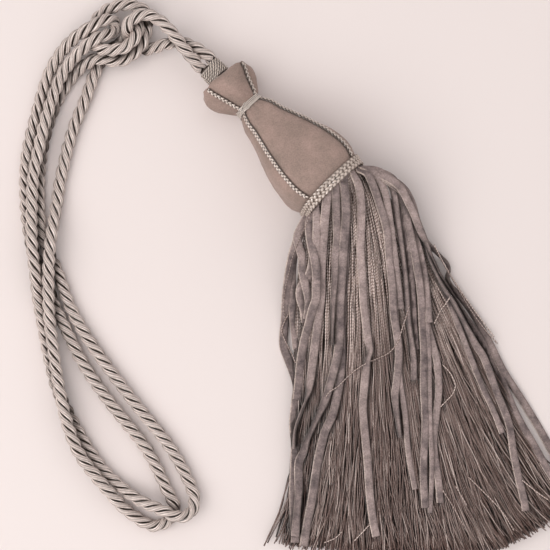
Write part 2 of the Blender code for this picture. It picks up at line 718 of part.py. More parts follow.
def ribbon_path(level, root_deg, places, tops):
    """Centre line of one ribbon: out of the backing, then over the yarn or down to the table."""
    angle = math.radians(root_deg)
    radius = RIBBON_LEVEL_RADII[level]
    root = bell_point(BACKING_END_U, radius * math.sin(angle), radius * math.cos(angle))
    plan = [Vector((root.x, root.y, 0.0))] + [Vector((x, y, 0.0)) for x, y in places]
    path = even_points(smooth_curve(plan, ROUTE_SAMPLES), RIBBON_STEP)
    lift = RIBBON_CLEARANCE + RIBBON_THICK / 2 + level * RIBBON_LEVEL_STEP
    travelled = [0.0]
    for a, b in zip(path, path[1:]):
        travelled.append(travelled[-1] + (b - a).length)
    heights = []
    for index in range(HEIGHTS_PER_STEP * (len(path) - 1) + 1):
        at = index / HEIGHTS_PER_STEP
        low = min(int(at), len(path) - 2)
        point = path[low].lerp(path[low + 1], at - low)
        reach = travelled[-1] * at / (len(path) - 1)
        top = tops.get((round(point.x / YARN_TOP_CELL), round(point.y / YARN_TOP_CELL)), 0.0)
        fall = smoothstep(reach / RIBBON_FALL_LENGTH)
        free = root.z + (lift - root.z) * fall
        heights.append(free if reach < ROOT_LENGTH else max(free, top + lift))
    highest = [max(near(heights, k, HEIGHTS_PER_STEP)) for k in range(len(heights))]
    smooth = [mean(near(highest, k, HEIGHTS_PER_STEP // 2)) for k in range(len(highest))]
    return [
        root if k == 0 else Vector((p.x, p.y, smooth[k * HEIGHTS_PER_STEP])) for k, p in enumerate(path)
    ]


def ribbon_rings(level, root_deg, path):
    """Rings of one ribbon, which turns from the backing's rim to lie flat."""
    angle = math.radians(root_deg)
    rim_way = ACROSS * math.cos(angle) - UP * math.sin(angle)
    ways = directions(path)
    ways[0] = ALONG
    half_width, half_thick = RIBBON_WIDTH / 2, RIBBON_THICK / 2
    rings = []
    travelled = 0.0
    for index in range(1, len(path)):
        way = ways[index]
        travelled += (path[index] - path[index - 1]).length
        level_way = Vector((-way.y, way.x, 0.0)).normalized()
        width = rim_way.lerp(level_way, smoothstep(travelled / RIBBON_TURN_LENGTH))
        width = (width - way * width.dot(way)).normalized() * half_width
        thick = way.cross(width).normalized() * half_thick
        place = path[index]
        rings.append([place - width - thick, place + width - thick, place + width + thick, place - width + thick])
    return rings


def make_ribbon_skirt(crests):
    """Long ribbons over the yarn, on a ring round the yarn's backing."""
    tops = yarn_tops(crests)
    backing = Backing(RIBBON_BACKING_OUTER, RIBBON_BACKING_INNER)
    for level, root_deg, *places in RIBBONS:
        angle = math.radians(root_deg)
        radius = RIBBON_LEVEL_RADII[level]
        out = Vector((math.sin(angle), math.cos(angle)))
        side = Vector((math.cos(angle), -math.sin(angle))) * (RIBBON_WIDTH / 2)
        low = out * (radius - RIBBON_THICK / 2)
        high = out * (radius + RIBBON_THICK / 2)
        root = [tuple(low - side), tuple(low + side), tuple(high + side), tuple(high - side)]
        path = ribbon_path(level, root_deg, places, tops)
        backing.add_strand(root, ribbon_rings(level, root_deg, path))
    make_object("ribbon_skirt", *backing.build(), RIBBON_SUEDE)


def clear_scene():
    for old in list(bpy.data.objects):
        bpy.data.objects.remove(old, do_unlink=True)


def main():
    clear_scene()
    make_bell()
    for seam in range(SEAM_COUNT):
        make_seam_braid(seam)
    make_waist_cord()
    make_base_band()
    make_whipping()
    make_rope()
    crests = make_yarn_skirt()
    make_ribbon_skirt(crests)


main()
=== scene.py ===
"""The looks of a curtain tieback that lies on a table: twisted cord, suede bell, yarn and ribbons.

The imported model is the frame. Sizes here are millimetres until a mesh is made. The bell and the
cord's route have the same driving values as the solids, and the shown skirt has its own fan.
"""

import math
import random

import bpy
import numpy as np
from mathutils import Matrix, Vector


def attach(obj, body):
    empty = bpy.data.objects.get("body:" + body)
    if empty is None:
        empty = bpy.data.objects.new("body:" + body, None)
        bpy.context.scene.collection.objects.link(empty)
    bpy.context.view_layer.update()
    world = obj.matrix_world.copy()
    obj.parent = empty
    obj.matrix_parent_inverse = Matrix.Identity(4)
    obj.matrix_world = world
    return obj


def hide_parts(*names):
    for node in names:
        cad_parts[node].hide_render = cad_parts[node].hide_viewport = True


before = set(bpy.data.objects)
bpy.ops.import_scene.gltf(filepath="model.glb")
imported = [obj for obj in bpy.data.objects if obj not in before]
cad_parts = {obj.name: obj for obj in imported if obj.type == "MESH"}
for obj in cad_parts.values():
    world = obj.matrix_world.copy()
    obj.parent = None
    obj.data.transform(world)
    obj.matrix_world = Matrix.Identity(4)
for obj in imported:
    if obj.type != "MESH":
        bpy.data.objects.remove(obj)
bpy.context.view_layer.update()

METRES = 0.001
BODY = "root"
GAP = 0.35

# What each point keeps, from 0 to 1, and its usual value: its painted shade (on ribbons, their edge
# wear and painted light), its tube's tint, how tightly the thread there is twisted (on ribbons, painted
# light close to the root), and the painted shade of what lies over and beside it.
POINT_VALUES = {"shade": 0.5, "tint": 0.5, "spun": 1.0, "covered": 0.0}
NAP_STRENGTH = 0.7

# The camera looks straight down on the middle of the table.
CAMERA_PLACE = (-24.0, -60.0, 1000.0)
VIEW_WIDTH = 330.0

# Each lamp's name, place and size in metres, power and colour. The gloss light is a small one
# that only gives the silk its highlights.
LAMP_TARGET = (0.0, -0.05, 0.0)
LAMPS = (
    ("window_light", (-0.85, -0.5, 1.5), 2.2, 23.2, (1.0, 0.985, 0.97)),
    ("room_light", (0.7, 0.8, 1.2), 1.4, 3.0, (0.97, 0.98, 1.0)),
    ("gloss_light", (-0.85, -0.6, 1.2), 0.35, 30.0, (1.0, 0.95, 0.92)),
)
ROOM_COLOUR = (1.0, 0.99, 0.985)
ROOM_STRENGTH = 0.57
TABLE_HALF = 2.5
TABLE_COLOUR = (0.83, 0.735, 0.712)

# The bell's own frame: "along" runs from the collar to the base, "up" is its upper side.
BELL_TILT = math.radians(6.18)
BELL_TURN = math.radians(-45.0)
WIDEST_U = 78.0
WIDEST_HEIGHT = 24.4
ALONG = np.array((
    math.cos(BELL_TILT) * math.cos(BELL_TURN),
    math.cos(BELL_TILT) * math.sin(BELL_TURN),
    math.sin(BELL_TILT),
))
ACROSS = np.array((-math.sin(BELL_TURN), math.cos(BELL_TURN), 0.0))
UP = np.cross(ALONG, ACROSS)

# The bell's rounded-square section, and rows of its side: distance along it, half width of
# the panels, and the seams' distance from the axis as a share of that.
SQUARENESS = 2.8
FIRST_SEAM_DEG = -36.0
LOW_SIDE = math.radians(FIRST_SEAM_DEG + 45.0)
SEAM_COUNT = 4
BELL_PROFILE = np.array((
    (-1.4, 13.6, 1.32), (-0.5, 15.3, 1.17), (1.5, 16.6, 1.05), (4, 17.5, 0.96), (7, 17.5, 0.88),
    (10, 16.7, 0.84), (12.5, 15.6, 0.82), (15, 13.6, 0.85), (17.5, 11.8, 0.89), (20, 9.6, 0.97),
    (21.3, 7.8, 1.06), (23.7, 7.8, 1.08), (25, 8.9, 1.1), (27.2, 10.2, 1.1), (31, 12.2, 1.1),
    (37.3, 13.6, 1.1), (44.5, 16.2, 1.1), (51.6, 19, 1.1), (58, 21, 1.1), (66.6, 23.4, 1.1),
    (73, 24.4, 1.1), (78, 24.9, 1.1), (82.5, 24.5, 1.1), (86, 23.3, 1.1), (88.8, 21.8, 1.1),
    (91.4, 20.8, 1.1),
))
COLLAR_TOP_U, BELL_BASE_U = BELL_PROFILE[0, 0], BELL_PROFILE[-1, 0]
PROFILE_ROUNDING = 0.5
RIM_TILT = 2.7
RIM_ROUND = 0.9
RIM_REACH = 13.0
RIM_SEAM_DEG = 9.0
COLLAR_EDGE = 0.35
COLLAR_LID = ((0.45, 0.35), (0.9, 0.25))
BELL_STEP = 0.7
BELL_SIDES = 120
# Slow swellings of the stuffed side: each one's length, its waves round the bell and its start.
BELL_WAVES = ((6.9, 2.0, 0.7), (4.3, -3.0, 1.9))
BELL_UNEVEN = 0.22
BELL_UNEVEN_FROM = 30.5
BELL_UNEVEN_REACH = 20.0
SEAM_PULL = 0.5
SEAM_PULL_WIDTH = 2.4
# Painted shade on the suede along each seam and beside the base band, and its reach from the band.
SEAM_SHADE = 0.75
BAND_SHADE = 0.9
BAND_SHADE_REACH = 4.2
PLEAT_COUNT = 17
PLEAT_DEPTH = 0.2
PLEAT_WAVER = 0.6
PLEAT_REACH = 7.0
WAIST_U = 22.5
WAIST_HALF = 2.5

# Flat three-strand plaits over the seams and, two side by side, round the base.
PLAIT_STRANDS = 3
PLAIT_RISE = 0.42
PLAIT_LIFT = 0.42
PLAIT_STEP = 0.42
PLAIT_SIDES = 8
SEAM_PLAIT_HALF = 0.78
SEAM_STRAND = (0.68, 0.5)
SEAM_PLAIT_PITCH = 7.6
SEAM_START_U = -0.5
SEAM_END_U = 87.6
SEAM_PRESSED = 0.7
SEAM_PRESS_REACH = 3.0
BAND_PLAIT_HALF = 0.95
BAND_STRAND = (0.9, 0.54)
BAND_PLAIT_PITCH = 9.0
BAND_LIFT = 1.15
BAND_ROWS_U = (89.85, 92.85)

WAIST_CORD_RADIUS = 0.34
WAIST_CORD_ROWS = (-1.3, -0.62, 0.1, 0.7, 1.35)
WAIST_CORD_HALF = 1.6
WAIST_CORD_WAVER = 0.22
WAIST_CORD_LIFT = 0.4
WAIST_CORD_RIDE = 0.9
WAIST_RIDE_DEG = 13.0
WAIST_ROW_RISE = 0.12
WAIST_KNOT_DEG = -36.0
WAIST_KNOT_HALF_DEG = 32.0
WAIST_KNOT_HALF = 1.9
WAIST_KNOT_RISE = 0.7

WHIPPING_START_U = -12.6
WHIPPING_END_U = COLLAR_TOP_U - GAP
WHIPPING_HALF_WIDTH = 7.9
WHIPPING_NARROWING = 0.3
WHIPPING_HALF_HEIGHT = 4.9
WHIPPING_TURNS = 6
WHIPPING_CORD_RADIUS = 0.84
WHIPPING_CORD_PITCH = 3.7
WHIPPING_PLIES = 2
WHIPPING_PLY_SIDES = 7
WHIPPING_PLY_SHARE = 0.54
WHIPPING_CORE_INSET = 0.3

# The cord: three plies laid left over right, each of seven silky threads.
ROPE_PITCH = 22.0
ROPE_PLIES = 3
PLY_CENTRE = 2.12
PLY_HALF_DEPTH = 1.78
PLY_HALF_WIDTH = 1.62
PLY_THREADS = 7
PLY_THREAD_DEPTH = 0.3
PLY_THREAD_PITCH = 60.0
ROPE_STEP = 1.5
ROPE_SHADOW_DEPTH = 9.0
ROPE_SHADOW_MARGIN = 1.5
ROPE_MAP_CORNER = (-190.0, -250.0)
ROPE_MAP_SIZE = (220, 370)
SKIRT_MAP_CORNER = (-60.0, -260.0)
SKIRT_MAP_SIZE = (270, 315)

# The cord's route: out of the whipping, through the knot, round both hook loops and back.
ROPE_ROUTE = (
    (-67, 61.1, 14.6), (-69.1, 63.4, 14.9), (-71.5, 66.5, 16.4), (-76.4, 71.8, 19), (-81.3, 78.3, 21),
    (-86.5, 84.6, 22.5), (-92.6, 89.9, 22.5), (-99, 92.6, 23.7), (-104.2, 91.6, 24.7), (-108.6, 88.8, 23.7),
    (-110.9, 85, 21.3), (-111.3, 82, 13.7), (-115.2, 78.9, 7), (-120.2, 76.2, 4.2), (-124.4, 72.1, 4),
    (-128.3, 67.3, 4),
    # Down to the first hook loop, over the runs beside it.
    (-132.2, 59.5, 4), (-136.9, 45.8, 4), (-144.7, 26.7, 4), (-152.2, -3.2, 4), (-154.1, -16.4, 5),
    (-157.5, -42.8, 11.9), (-158.4, -63, 12.2), (-157.9, -82.5, 12), (-156.9, -93.8, 11.2),
    (-153.8, -116.3, 12), (-148.2, -144.2, 12), (-140.6, -165.3, 11), (-128.9, -181.5, 9.8),
    (-123.3, -188.1, 9.4), (-110.9, -201.8, 4.6), (-95.1, -210, 4),
    # Back up to the knot.
    (-84.4, -203.1, 4), (-84.4, -196.9, 4), (-87.9, -189.7, 4), (-100.1, -165.2, 4), (-123.8, -134.7, 4),
    (-139.9, -110.8, 4), (-151, -88.1, 4), (-154.9, -80.3, 4), (-158.5, -70.8, 4), (-169.8, -40.9, 4),
    (-172.9, 5.7, 4), (-164.4, 43.3, 4.5), (-158.9, 59.2, 7), (-152.2, 70, 11), (-143.3, 79, 16),
    (-132.8, 85.6, 19.8), (-125.9, 89.7, 18), (-120.7, 91.1, 14.5), (-118.6, 88.5, 12),
    (-119.7, 84.8, 12.8), (-122.3, 82.2, 16.5),
    # Down to the second hook loop.
    (-128, 79.6, 20.3), (-135.2, 74.7, 19.6), (-149.1, 60.9, 12), (-158.3, 37.9, 11.6),
    (-164.2, 14.1, 11.8), (-167, 1.1, 11.4), (-168.3, -14.3, 11.2), (-168.1, -41, 12), (-165.9, -63, 10.2),
    (-165.3, -72.5, 6.6), (-164.1, -82.1, 4.4), (-156.1, -121.6, 4), (-152.5, -132.3, 4), (-131.6, -170, 4),
    (-119.9, -183.3, 4.5), (-104.9, -193.8, 8.6), (-89.2, -200.2, 12.3), (-82.7, -203.1, 12.3),
    (-77.1, -203, 11),
    # Up to the knot again, below the others.
    (-73.3, -200, 9.2), (-72.1, -194.7, 7), (-73.8, -187.5, 5), (-85.3, -165.2, 4), (-110.7, -132.9, 4),
    (-134.9, -99.4, 4), (-146.2, -79.7, 4), (-153.7, -58.8, 4), (-161.7, -40.9, 4), (-164.1, -30.7, 4),
    (-165, -6.2, 4), (-162.6, 17.7, 4), (-155.2, 41.6, 4), (-144.1, 59.5, 4.3), (-131.4, 67.6, 11.2),
    # Twice round the knot, then back to the whipping.
    (-125.4, 68, 12), (-120.3, 66.9, 12), (-115, 67.2, 12), (-109.1, 70.1, 12), (-104, 75.2, 12),
    (-101.1, 81.5, 11.5), (-100, 88.2, 10), (-100.4, 95.6, 8.5), (-106.1, 99.7, 9), (-112.5, 100.6, 10.3),
    (-118.9, 99.3, 11), (-124.9, 96.4, 11), (-129.6, 91.9, 11), (-132.9, 86, 11), (-132.6, 79.4, 11.2),
    (-128.4, 73.8, 16.5), (-122.9, 72.1, 19.3), (-116.8, 72.5, 20.8), (-111, 74.5, 20.8),
    (-106.9, 79, 20.3), (-104.8, 84.8, 16.8), (-105.3, 90.2, 14.5), (-108.1, 91.9, 9), (-109.7, 89.2, 5),
    (-109.5, 82.8, 4), (-106.2, 76.6, 4), (-100.4, 74.5, 5.2), (-93.6, 75.9, 8.2), (-86.9, 77.4, 11),
    (-80.3, 77.4, 12.7), (-74.3, 76.2, 13.3), (-68.7, 73.1, 14), (-63.4, 69.2, 14.4), (-61.2, 67, 14.6),
)

# The skirt's fan, left to right: place of the tips, direction there, direction at the root.
# Directions are degrees from -Y towards +X.
SKIRT_FAN = np.array((
    (-11.5, -221.0, -1.0, -28.0),
    (20.7, -225.0, 2.0, 15.0),
    (62.5, -227.6, 11.0, 45.0),
    (107.2, -225.2, 24.0, 58.0),
    (152.0, -199.0, 33.0, 66.0),
))
# Where on the base the yarns of each place in the fan are rooted, in degrees from its upper side.
ROOT_PLACES = (0.0, 0.18, 0.34, 0.48, 0.6, 0.8, 1.0)
ROOT_DEGREES = (-104.0, 22.0, 44.0, 62.0, 82.0, 97.0, 104.0)
FAN_ROOT_PULL = 0.45
FAN_TIP_PULL = 0.9
FALL_SHARE = 0.85
FALL_POWER = 1.8
SKIRT_ROOT_U = 93.6
SKIRT_ROOT_OUTER = 19.4
SKIRT_ROOT_INNER = 5.0
SKIRT_ROOT_HALF_TURN = 104.0
PILE_HEIGHT = 10.6
PILE_LOW = 0.5
PILE_EDGE_DROP = 0.62
UNDER_HEIGHT = 4.2

# Yarn: the upper ones are combed straight and twisted tight, and open and stray to the tips.
YARN_COUNT = 2100
UNDER_COUNT = 420
YARN_RADIUS = 0.55
YARN_POINTS = 30
YARN_SIDES = 3
YARN_SEED = 5
YARN_COMBED = 0.4
# Bends from root to tip in radians: over all of a yarn, then where it is loose. Then its lifts off
# the pile: the height of each and its bends.
YARN_BENDS = (4.0, 17.0, 33.0)
YARN_LIFTS = ((0.35, 7.0), (0.55, 26.0), (0.35, 43.0))
YARN_WANDER = 1.5
YARN_WAVE = 1.9
YARN_FRAY = 29.0
YARN_CRIMP = 0.22
YARN_FLECK = 1.9
YARN_SWEEP_PLACE = 0.34
YARN_SWEEP = 15.0
YARN_LEFT_SWEEP = 0.7
LOCK_COUNT = 36
LOCK_GATHER = 0.578
# Painted shade on yarn that lies between two locks.
LOCK_SHADE = 0.75
YARN_UNEVEN = 0.035
# Depths below the pile's top and below nearby threads that put a yarn wholly in painted shade.
YARN_SHADOW_DEPTH = 1.7
YARN_BESIDE_DEPTH = 3.4
# Where along a yarn its twist opens, over what share of it, and how far.
YARN_OPENS = 0.3
YARN_OPENING = 0.35
YARN_OPENED = 0.85
# Painted shade on a yarn's lower corners, less where it is twisted tight, and how flat twisted yarn is.
YARN_SIDE_SHADE = 0.74
YARN_SPUN_LIGHT = 0.56
YARN_SPUN_FLAT = 0.5

RIBBON_THICK = 1.3
RIBBON_ROOT_RADIUS = 20.2
RIBBON_SEED = 3
RIBBON_STEP = 2.2
RIBBON_FREE = 8.0
RIBBON_TURN_LENGTH = 14.0
RIBBON_FALL_LENGTH = 80.0
RIBBON_SMOOTH = 4
RIBBON_SINK = 0.1
RIBBON_SHADOW_DEPTH = 2.6
RIBBON_ROCK_DEG = 11.0
RIBBON_ROCK_LENGTHS = (13.0, 7.3)
RIBBON_NEAR = 50.0
# Where over its half width a ribbon feels what it lies on.
RIBBON_FEELERS = (-0.8, -0.4, 0.0, 0.4, 0.8)
# A ribbon's section: shares of its half width and half thickness, how pale with wear each corner is,
# paler on its minus side as painted light, and how far it lies in its own painted shade.
RIBBON_SECTION = np.array((
    (1.0, 0.1, 0.3, 0.75), (0.95, 0.65, 0.4, 0.45), (0.8, 1.0, 0.15, 0.12), (0.4, 1.3, 0.0, 0.0),
    (0.0, 1.4, 0.0, 0.0), (-0.4, 1.3, 0.0, 0.0), (-0.8, 1.0, 0.5, 0.0), (-0.95, 0.65, 1.0, 0.0),
    (-1.0, 0.1, 1.0, 0.0), (-0.96, -0.6, 0.8, 0.3), (-0.6, -0.95, 0.3, 0.6), (0.6, -0.95, 0.3, 0.8),
    (0.96, -0.6, 0.3, 0.9),
))

# Ribbons, lowest first: root angle on the base, width, then the places that each passes
# over, some with the degrees by which the ribbon stands on its edge there.
RIBBONS = (
    (-88, 5.2, (-3, -25), (-8, -32), (-12, -43), (-14, -56), (-14, -68), (-13, -86), (-11, -104)),
    (-84, 5.2, (-4, -24), (-9, -35), (-14, -49), (-17, -69), (-18, -87), (-19, -102), (-16, -111),
     (-13, -119), (-11, -126), (-12, -137), (-13, -149), (-12, -161), (-13, -189), (-12, -219)),
    (-72, 5.2, (-2, -22), (-3, -29), (-3, -39), (-2, -50), (-4, -60), (-9, -68), (-9, -74), (-7, -80),
     (-6, -88)),
    (-80, 5.2, (-2, -21), (-7, -29), (-11, -38), (-10, -43), (-8, -50), (-8, -57), (-6, -66), (-4, -76),
     (-5, -86)),
    (100, 4.4, (51, -11), (57, -29), (61, -52), (65, -86), (69, -100), (72, -112), (73, -128), (71, -147),
     (70, -160), (73, -183), (74, -195)),
    (96, 2.8, (48, -8), (56, -31), (61, -57), (65, -81), (67, -104), (68, -149), (69, -177), (68, -201)),
    (92, 4.2, (46, -5), (54, -25), (60, -42), (64, -59), (66, -75), (67, -88)),
    (74, 3.4, (34, -3), (41, -17), (45, -40), (48, -98), (50, -122), (53, -142), (55, -165), (59, -187)),
    (82, 4.2, (43, -6), (48, -19), (52, -35), (56, -56), (57, -72), (58, -90), (59, -104)),
    (70, 4.3, (33, 0), (37, -5), (40, -11), (42, -20), (45, -40), (48, -63), (50, -80)),
    (10, 4.8, (11, -6), (11, -20), (12, -35), (12, -41, 12), (11, -50, 30), (11, -63, 50), (10, -77, 68),
     (10, -90, 80), (10, -101, 84)),
    (-42, 4.6, (0, -19), (0, -30), (0, -43), (1, -57), (1, -66), (0, -77)),
    (-15, 5.2, (6, -12), (5, -23), (4, -39), (3, -59), (3, -72), (1, -90), (-1, -106), (-3, -122, 20),
     (-4, -129, 50), (-6, -135, 78), (-9, -143, 84), (-12, -152, 80), (-13, -163, 78)),
    (-60, 5.2, (-2, -22), (-4, -28), (-4, -35), (-3, -42), (-1, -51), (0, -58), (0, -69), (0, -74),
     (-2, -80), (-4, -88), (-7, -100), (-9, -113), (-10, -124), (-11, -134)),
    (30, 5.2, (16, -4), (16, -20), (17, -40), (16, -69), (15, -92), (15, -111), (14, -124), (10, -143),
     (6, -152), (3, -163), (1, -173), (-2, -193), (-5, -208), (-7, -221)),
    (28, 5.2, (15, -3), (16, -12), (17, -24), (16, -42), (15, -60), (14, -78), (14, -92), (13, -106),
     (10, -119), (6, -133, 20), (3, -140, 55), (-1, -149, 72), (-5, -158, 60), (-7, -165, 30),
     (-10, -173), (-10, -180), (-10, -190, 30), (-11, -202, 20), (-12, -215)),
    (46, 4.9, (20, 0), (24, -8), (26, -20), (26, -34), (26, -48), (27, -60), (28, -76), (30, -92),
     (31, -99, 10), (32, -106, 62), (31, -109, 66), (30, -115, 30), (29, -124), (28, -138), (29, -151),
     (31, -172), (32, -187), (34, -205), (36, -215)),
    (63, 4.7, (23, 1), (29, -1), (32, -6), (37, -19), (41, -32), (43, -50), (45, -68), (46, -84),
     (48, -96), (49, -106), (48, -122), (47, -129, 20), (47, -134, 45), (48, -142, 62), (50, -156, 72)),
    (76, 4, (38, 0), (43, -5), (46, -14, 20), (48, -27, 46), (51, -47, 52), (53, -64, 46), (55, -88, 40),
     (58, -110, 36), (58, -122, 36)),
    (88, 4.5, (45, -4), (51, -16), (55, -32), (59, -52), (62, -72), (63, -90), (64, -108), (64, -128),
     (65, -146), (64, -176), (65, -198)),
    (104, 3.6, (52, -13), (60, -30), (70, -52), (79, -75), (91, -106), (99, -126), (106, -141),
     (111, -154)),
    (97, 4.6, (50, -8), (59, -27, 30), (68, -52, 68), (76, -68, 76), (81, -75, 76), (88, -88, 66),
     (95, -101, 30), (101, -111), (108, -130), (115, -148), (118, -167), (121, -181), (124, -194),
     (125, -200)),
    (101, 4.6, (51, -10), (61, -31, 30), (73, -58, 74), (86, -79, 74), (98, -97, 30), (108, -114),
     (119, -141), (130, -161), (139, -177), (145, -186)),
    (93, 4.6, (47, -7), (55, -19), (63, -37, 30), (68, -43, 50), (75, -49, 58), (79, -53, 66),
     (80, -57, 70), (79, -61, 68), (80, -65, 64), (84, -70, 56), (91, -78, 44), (98, -89, 32),
     (105, -102, 12), (113, -118), (124, -135), (135, -153), (145, -171)),
)

# Loose threads over the skirt: a root angle, or None where both ends lie free, then places.
LOOSE_THREADS = (
    (-92, (-4, -26), (-13, -47), (-16, -59), (-18, -68), (-19, -78), (-18, -88)),
    (None, (-16, -83), (-18, -87), (-20, -93), (-19, -97), (-16, -103), (-13, -109), (-12, -112)),
    (None, (55, -78), (53, -85), (51, -91), (48, -100), (43, -106), (37, -109), (32, -111), (25, -115),
     (18, -121), (13, -126), (8, -129), (6, -132)),
    (None, (75, -113), (79, -117), (82, -122), (83, -126), (81, -131), (78, -134), (74, -138)),
    (None, (80, -72), (77, -77), (74, -81), (72, -85), (70, -89)),
    (None, (91, -180), (99, -188), (106, -195), (112, -202), (118, -212)),
    (None, (123, -182), (133, -190), (139, -194)),
    (None, (75, -187), (82, -198), (88, -209)),
    (None, (83, -185), (90, -197)),
    (None, (5, -219), (12, -216), (16, -212)),
    (None, (23, -218), (32, -208)),
    (None, (72, -46), (84, -66), (93, -81), (101, -92), (109, -101)),
    (None, (70, -42), (82, -62), (90, -74), (98, -85), (107, -97)),
)
THREAD_SEED = 9
THREAD_RADIUS = 0.42
THREAD_TINT = 0.79
THREAD_SPUN = 0.9
THREAD_CLEAR = ((0, 0, 0), (1.8, 0, 0), (-1.8, 0, 0), (0, 1.8, 0), (0, -1.8, 0))

HEIGHT_CELL = 1.0


# ---- places on the bell ----

def bell_point(u, across, up):
    """Points in the bell's own frame, from places or arrays of places."""
    u, across, up = (np.asarray(value, float)[..., None] for value in (u, across, up))
    return np.array((0.0, 0.0, WIDEST_HEIGHT)) + ALONG * (u - WIDEST_U) + ACROSS * across + UP * up


def rim_point(angle, radius):
    """A place on the bell's base, where the skirt is rooted."""
    return bell_point(SKIRT_ROOT_U, radius * math.sin(angle), radius * math.cos(angle))


def rounded_square(angle):
    """Radius of a rounded square whose sides are one from its middle. Angles run from up to across."""
    turned = angle - LOW_SIDE
    total = np.abs(np.cos(turned)) ** SQUARENESS + np.abs(np.sin(turned)) ** SQUARENESS
    return total ** (-1.0 / SQUARENESS)


def seam_distance(angle):
    """Degrees from each angle to the nearest seam."""
    apart = 360.0 / SEAM_COUNT
    turned = (np.degrees(angle) - FIRST_SEAM_DEG) % apart
    return np.minimum(turned, apart - turned)


def profile_value(u, column):
    """A column of the bell's profile at distances along it, a little rounded between its rows."""
    shifts = np.linspace(-PROFILE_ROUNDING, PROFILE_ROUNDING, 5)
    rows, values = BELL_PROFILE[:, 0], BELL_PROFILE[:, column]
    return sum(np.interp(u + shift, rows, values) for shift in shifts) / len(shifts)


def bell_radius(u, angle):
    """Distance of the bell's side from its axis."""
    seam_reach = rounded_square(math.radians(FIRST_SEAM_DEG)) - 1.0
    seam_share = (rounded_square(angle) - 1.0) / seam_reach
    return profile_value(u, 1) * (1.0 + (profile_value(u, 2) - 1.0) * seam_share)


def bell_side(u, angle, outward=0.0):
    """Points on the bell's side, or that far outside it, from arrays of places."""
    radius = bell_radius(u, angle) + outward
    low_side = 0.5 + 0.5 * np.sin(angle - LOW_SIDE)
    drop = RIM_TILT * low_side + RIM_ROUND * np.exp(-(seam_distance(angle) / RIM_SEAM_DEG) ** 2)
    drop = drop * (1.0 - smoothstep((u - COLLAR_TOP_U) / RIM_REACH))
    return bell_point(u + drop, radius * np.sin(angle), radius * np.cos(angle))


def bell_normal(u, angle):
    """The unit way out of the bell's side at arrays of places."""
    along = bell_side(u + 0.4, angle) - bell_side(u - 0.4, angle)
    turn = bell_side(u, angle + 0.02) - bell_side(u, angle - 0.02)
    return unit(np.cross(along, turn))


# ---- curves and tubes ----

def smoothstep(values):
    values = np.clip(values, 0.0, 1.0)
    return values * values * (3.0 - 2.0 * values)


def eased(start, start_slope, end, end_slope, t):
    """The smooth way from start to end, with those slopes there, at t from 0 to 1."""
    cube, square = t ** 3, t ** 2
    return (
        start * (2 * cube - 3 * square + 1) + start_slope * (cube - 2 * square + t)
        + end * (3 * square - 2 * cube) + end_slope * (cube - square)
    )


def running_mean(values, reach):
    """Each value's mean with its neighbours, the ends repeated."""
    padded = np.pad(values, reach, mode="edge")
    return np.convolve(padded, np.ones(2 * reach + 1) / (2 * reach + 1), mode="valid")


def smooth_curve(points, samples=14):
    """A smooth curve through the points, for points at uneven distances."""
    points = [Vector(p) for p in points]
    padded = [points[0] * 2 - points[1], *points, points[-1] * 2 - points[-2]]
    curve = []
    for p0, p1, p2, p3 in zip(padded, padded[1:], padded[2:], padded[3:]):
        t1 = math.sqrt((p1 - p0).length)
        t2 = t1 + math.sqrt((p2 - p1).length)
        t3 = t2 + math.sqrt((p3 - p2).length)
        for step in range(samples):
            t = t1 + (t2 - t1) * step / samples
            a1 = p0.lerp(p1, t / t1)
            a2 = p1.lerp(p2, (t - t1) / (t2 - t1))
            a3 = p2.lerp(p3, (t - t2) / (t3 - t2))
            b1 = a1.lerp(a2, t / t2)
            b2 = a2.lerp(a3, (t - t1) / (t3 - t1))
            curve.append(b1.lerp(b2, (t - t1) / (t2 - t1)))
    curve.append(points[-1])
    return np.array([tuple(p) for p in curve])


def reach_along(path):
    """Distance from the path's start to each of its points."""
    steps = np.linalg.norm(np.diff(path, axis=0), axis=1)
    return np.concatenate(([0.0], np.cumsum(steps)))


def even_points(curve, step):
    """Points along a curve about one step apart, its two ends among them."""
    reach = reach_along(curve)
    count = max(2, round(reach[-1] / step) + 1)
    places = np.linspace(0.0, reach[-1], count)
    return np.stack([np.interp(places, reach, column) for column in curve.T], axis=1)


def unit(rows):
    return rows / np.maximum(np.linalg.norm(rows, axis=-1, keepdims=True), 1e-9)


def square_to(ways, sides):
    """The sides turned square to the ways, and one unit long."""
    return unit(sides - ways * np.sum(sides * ways, axis=1, keepdims=True))


def directions(path):
    """The unit direction of a run of points at each of them."""
    padded = np.concatenate((path[:1], path, path[-1:]))
    return unit(padded[2:] - padded[:-2])


def carried_frame(path, first_side):
    """Two unit sides at each point of a path, carried along it without turning."""
    ways = directions(path)
    sides = np.empty_like(path)
    side = np.array(first_side, dtype=float)
    for index, way in enumerate(ways):
        side = side - way * side.dot(way)
        side = side / np.linalg.norm(side)
        sides[index] = side
    return sides, np.cross(ways, sides)


def show(name, data):
    """An object of that data, in the scene."""
    thing = bpy.data.objects.new(name, data)
    bpy.context.scene.collection.objects.link(thing)
    return thing


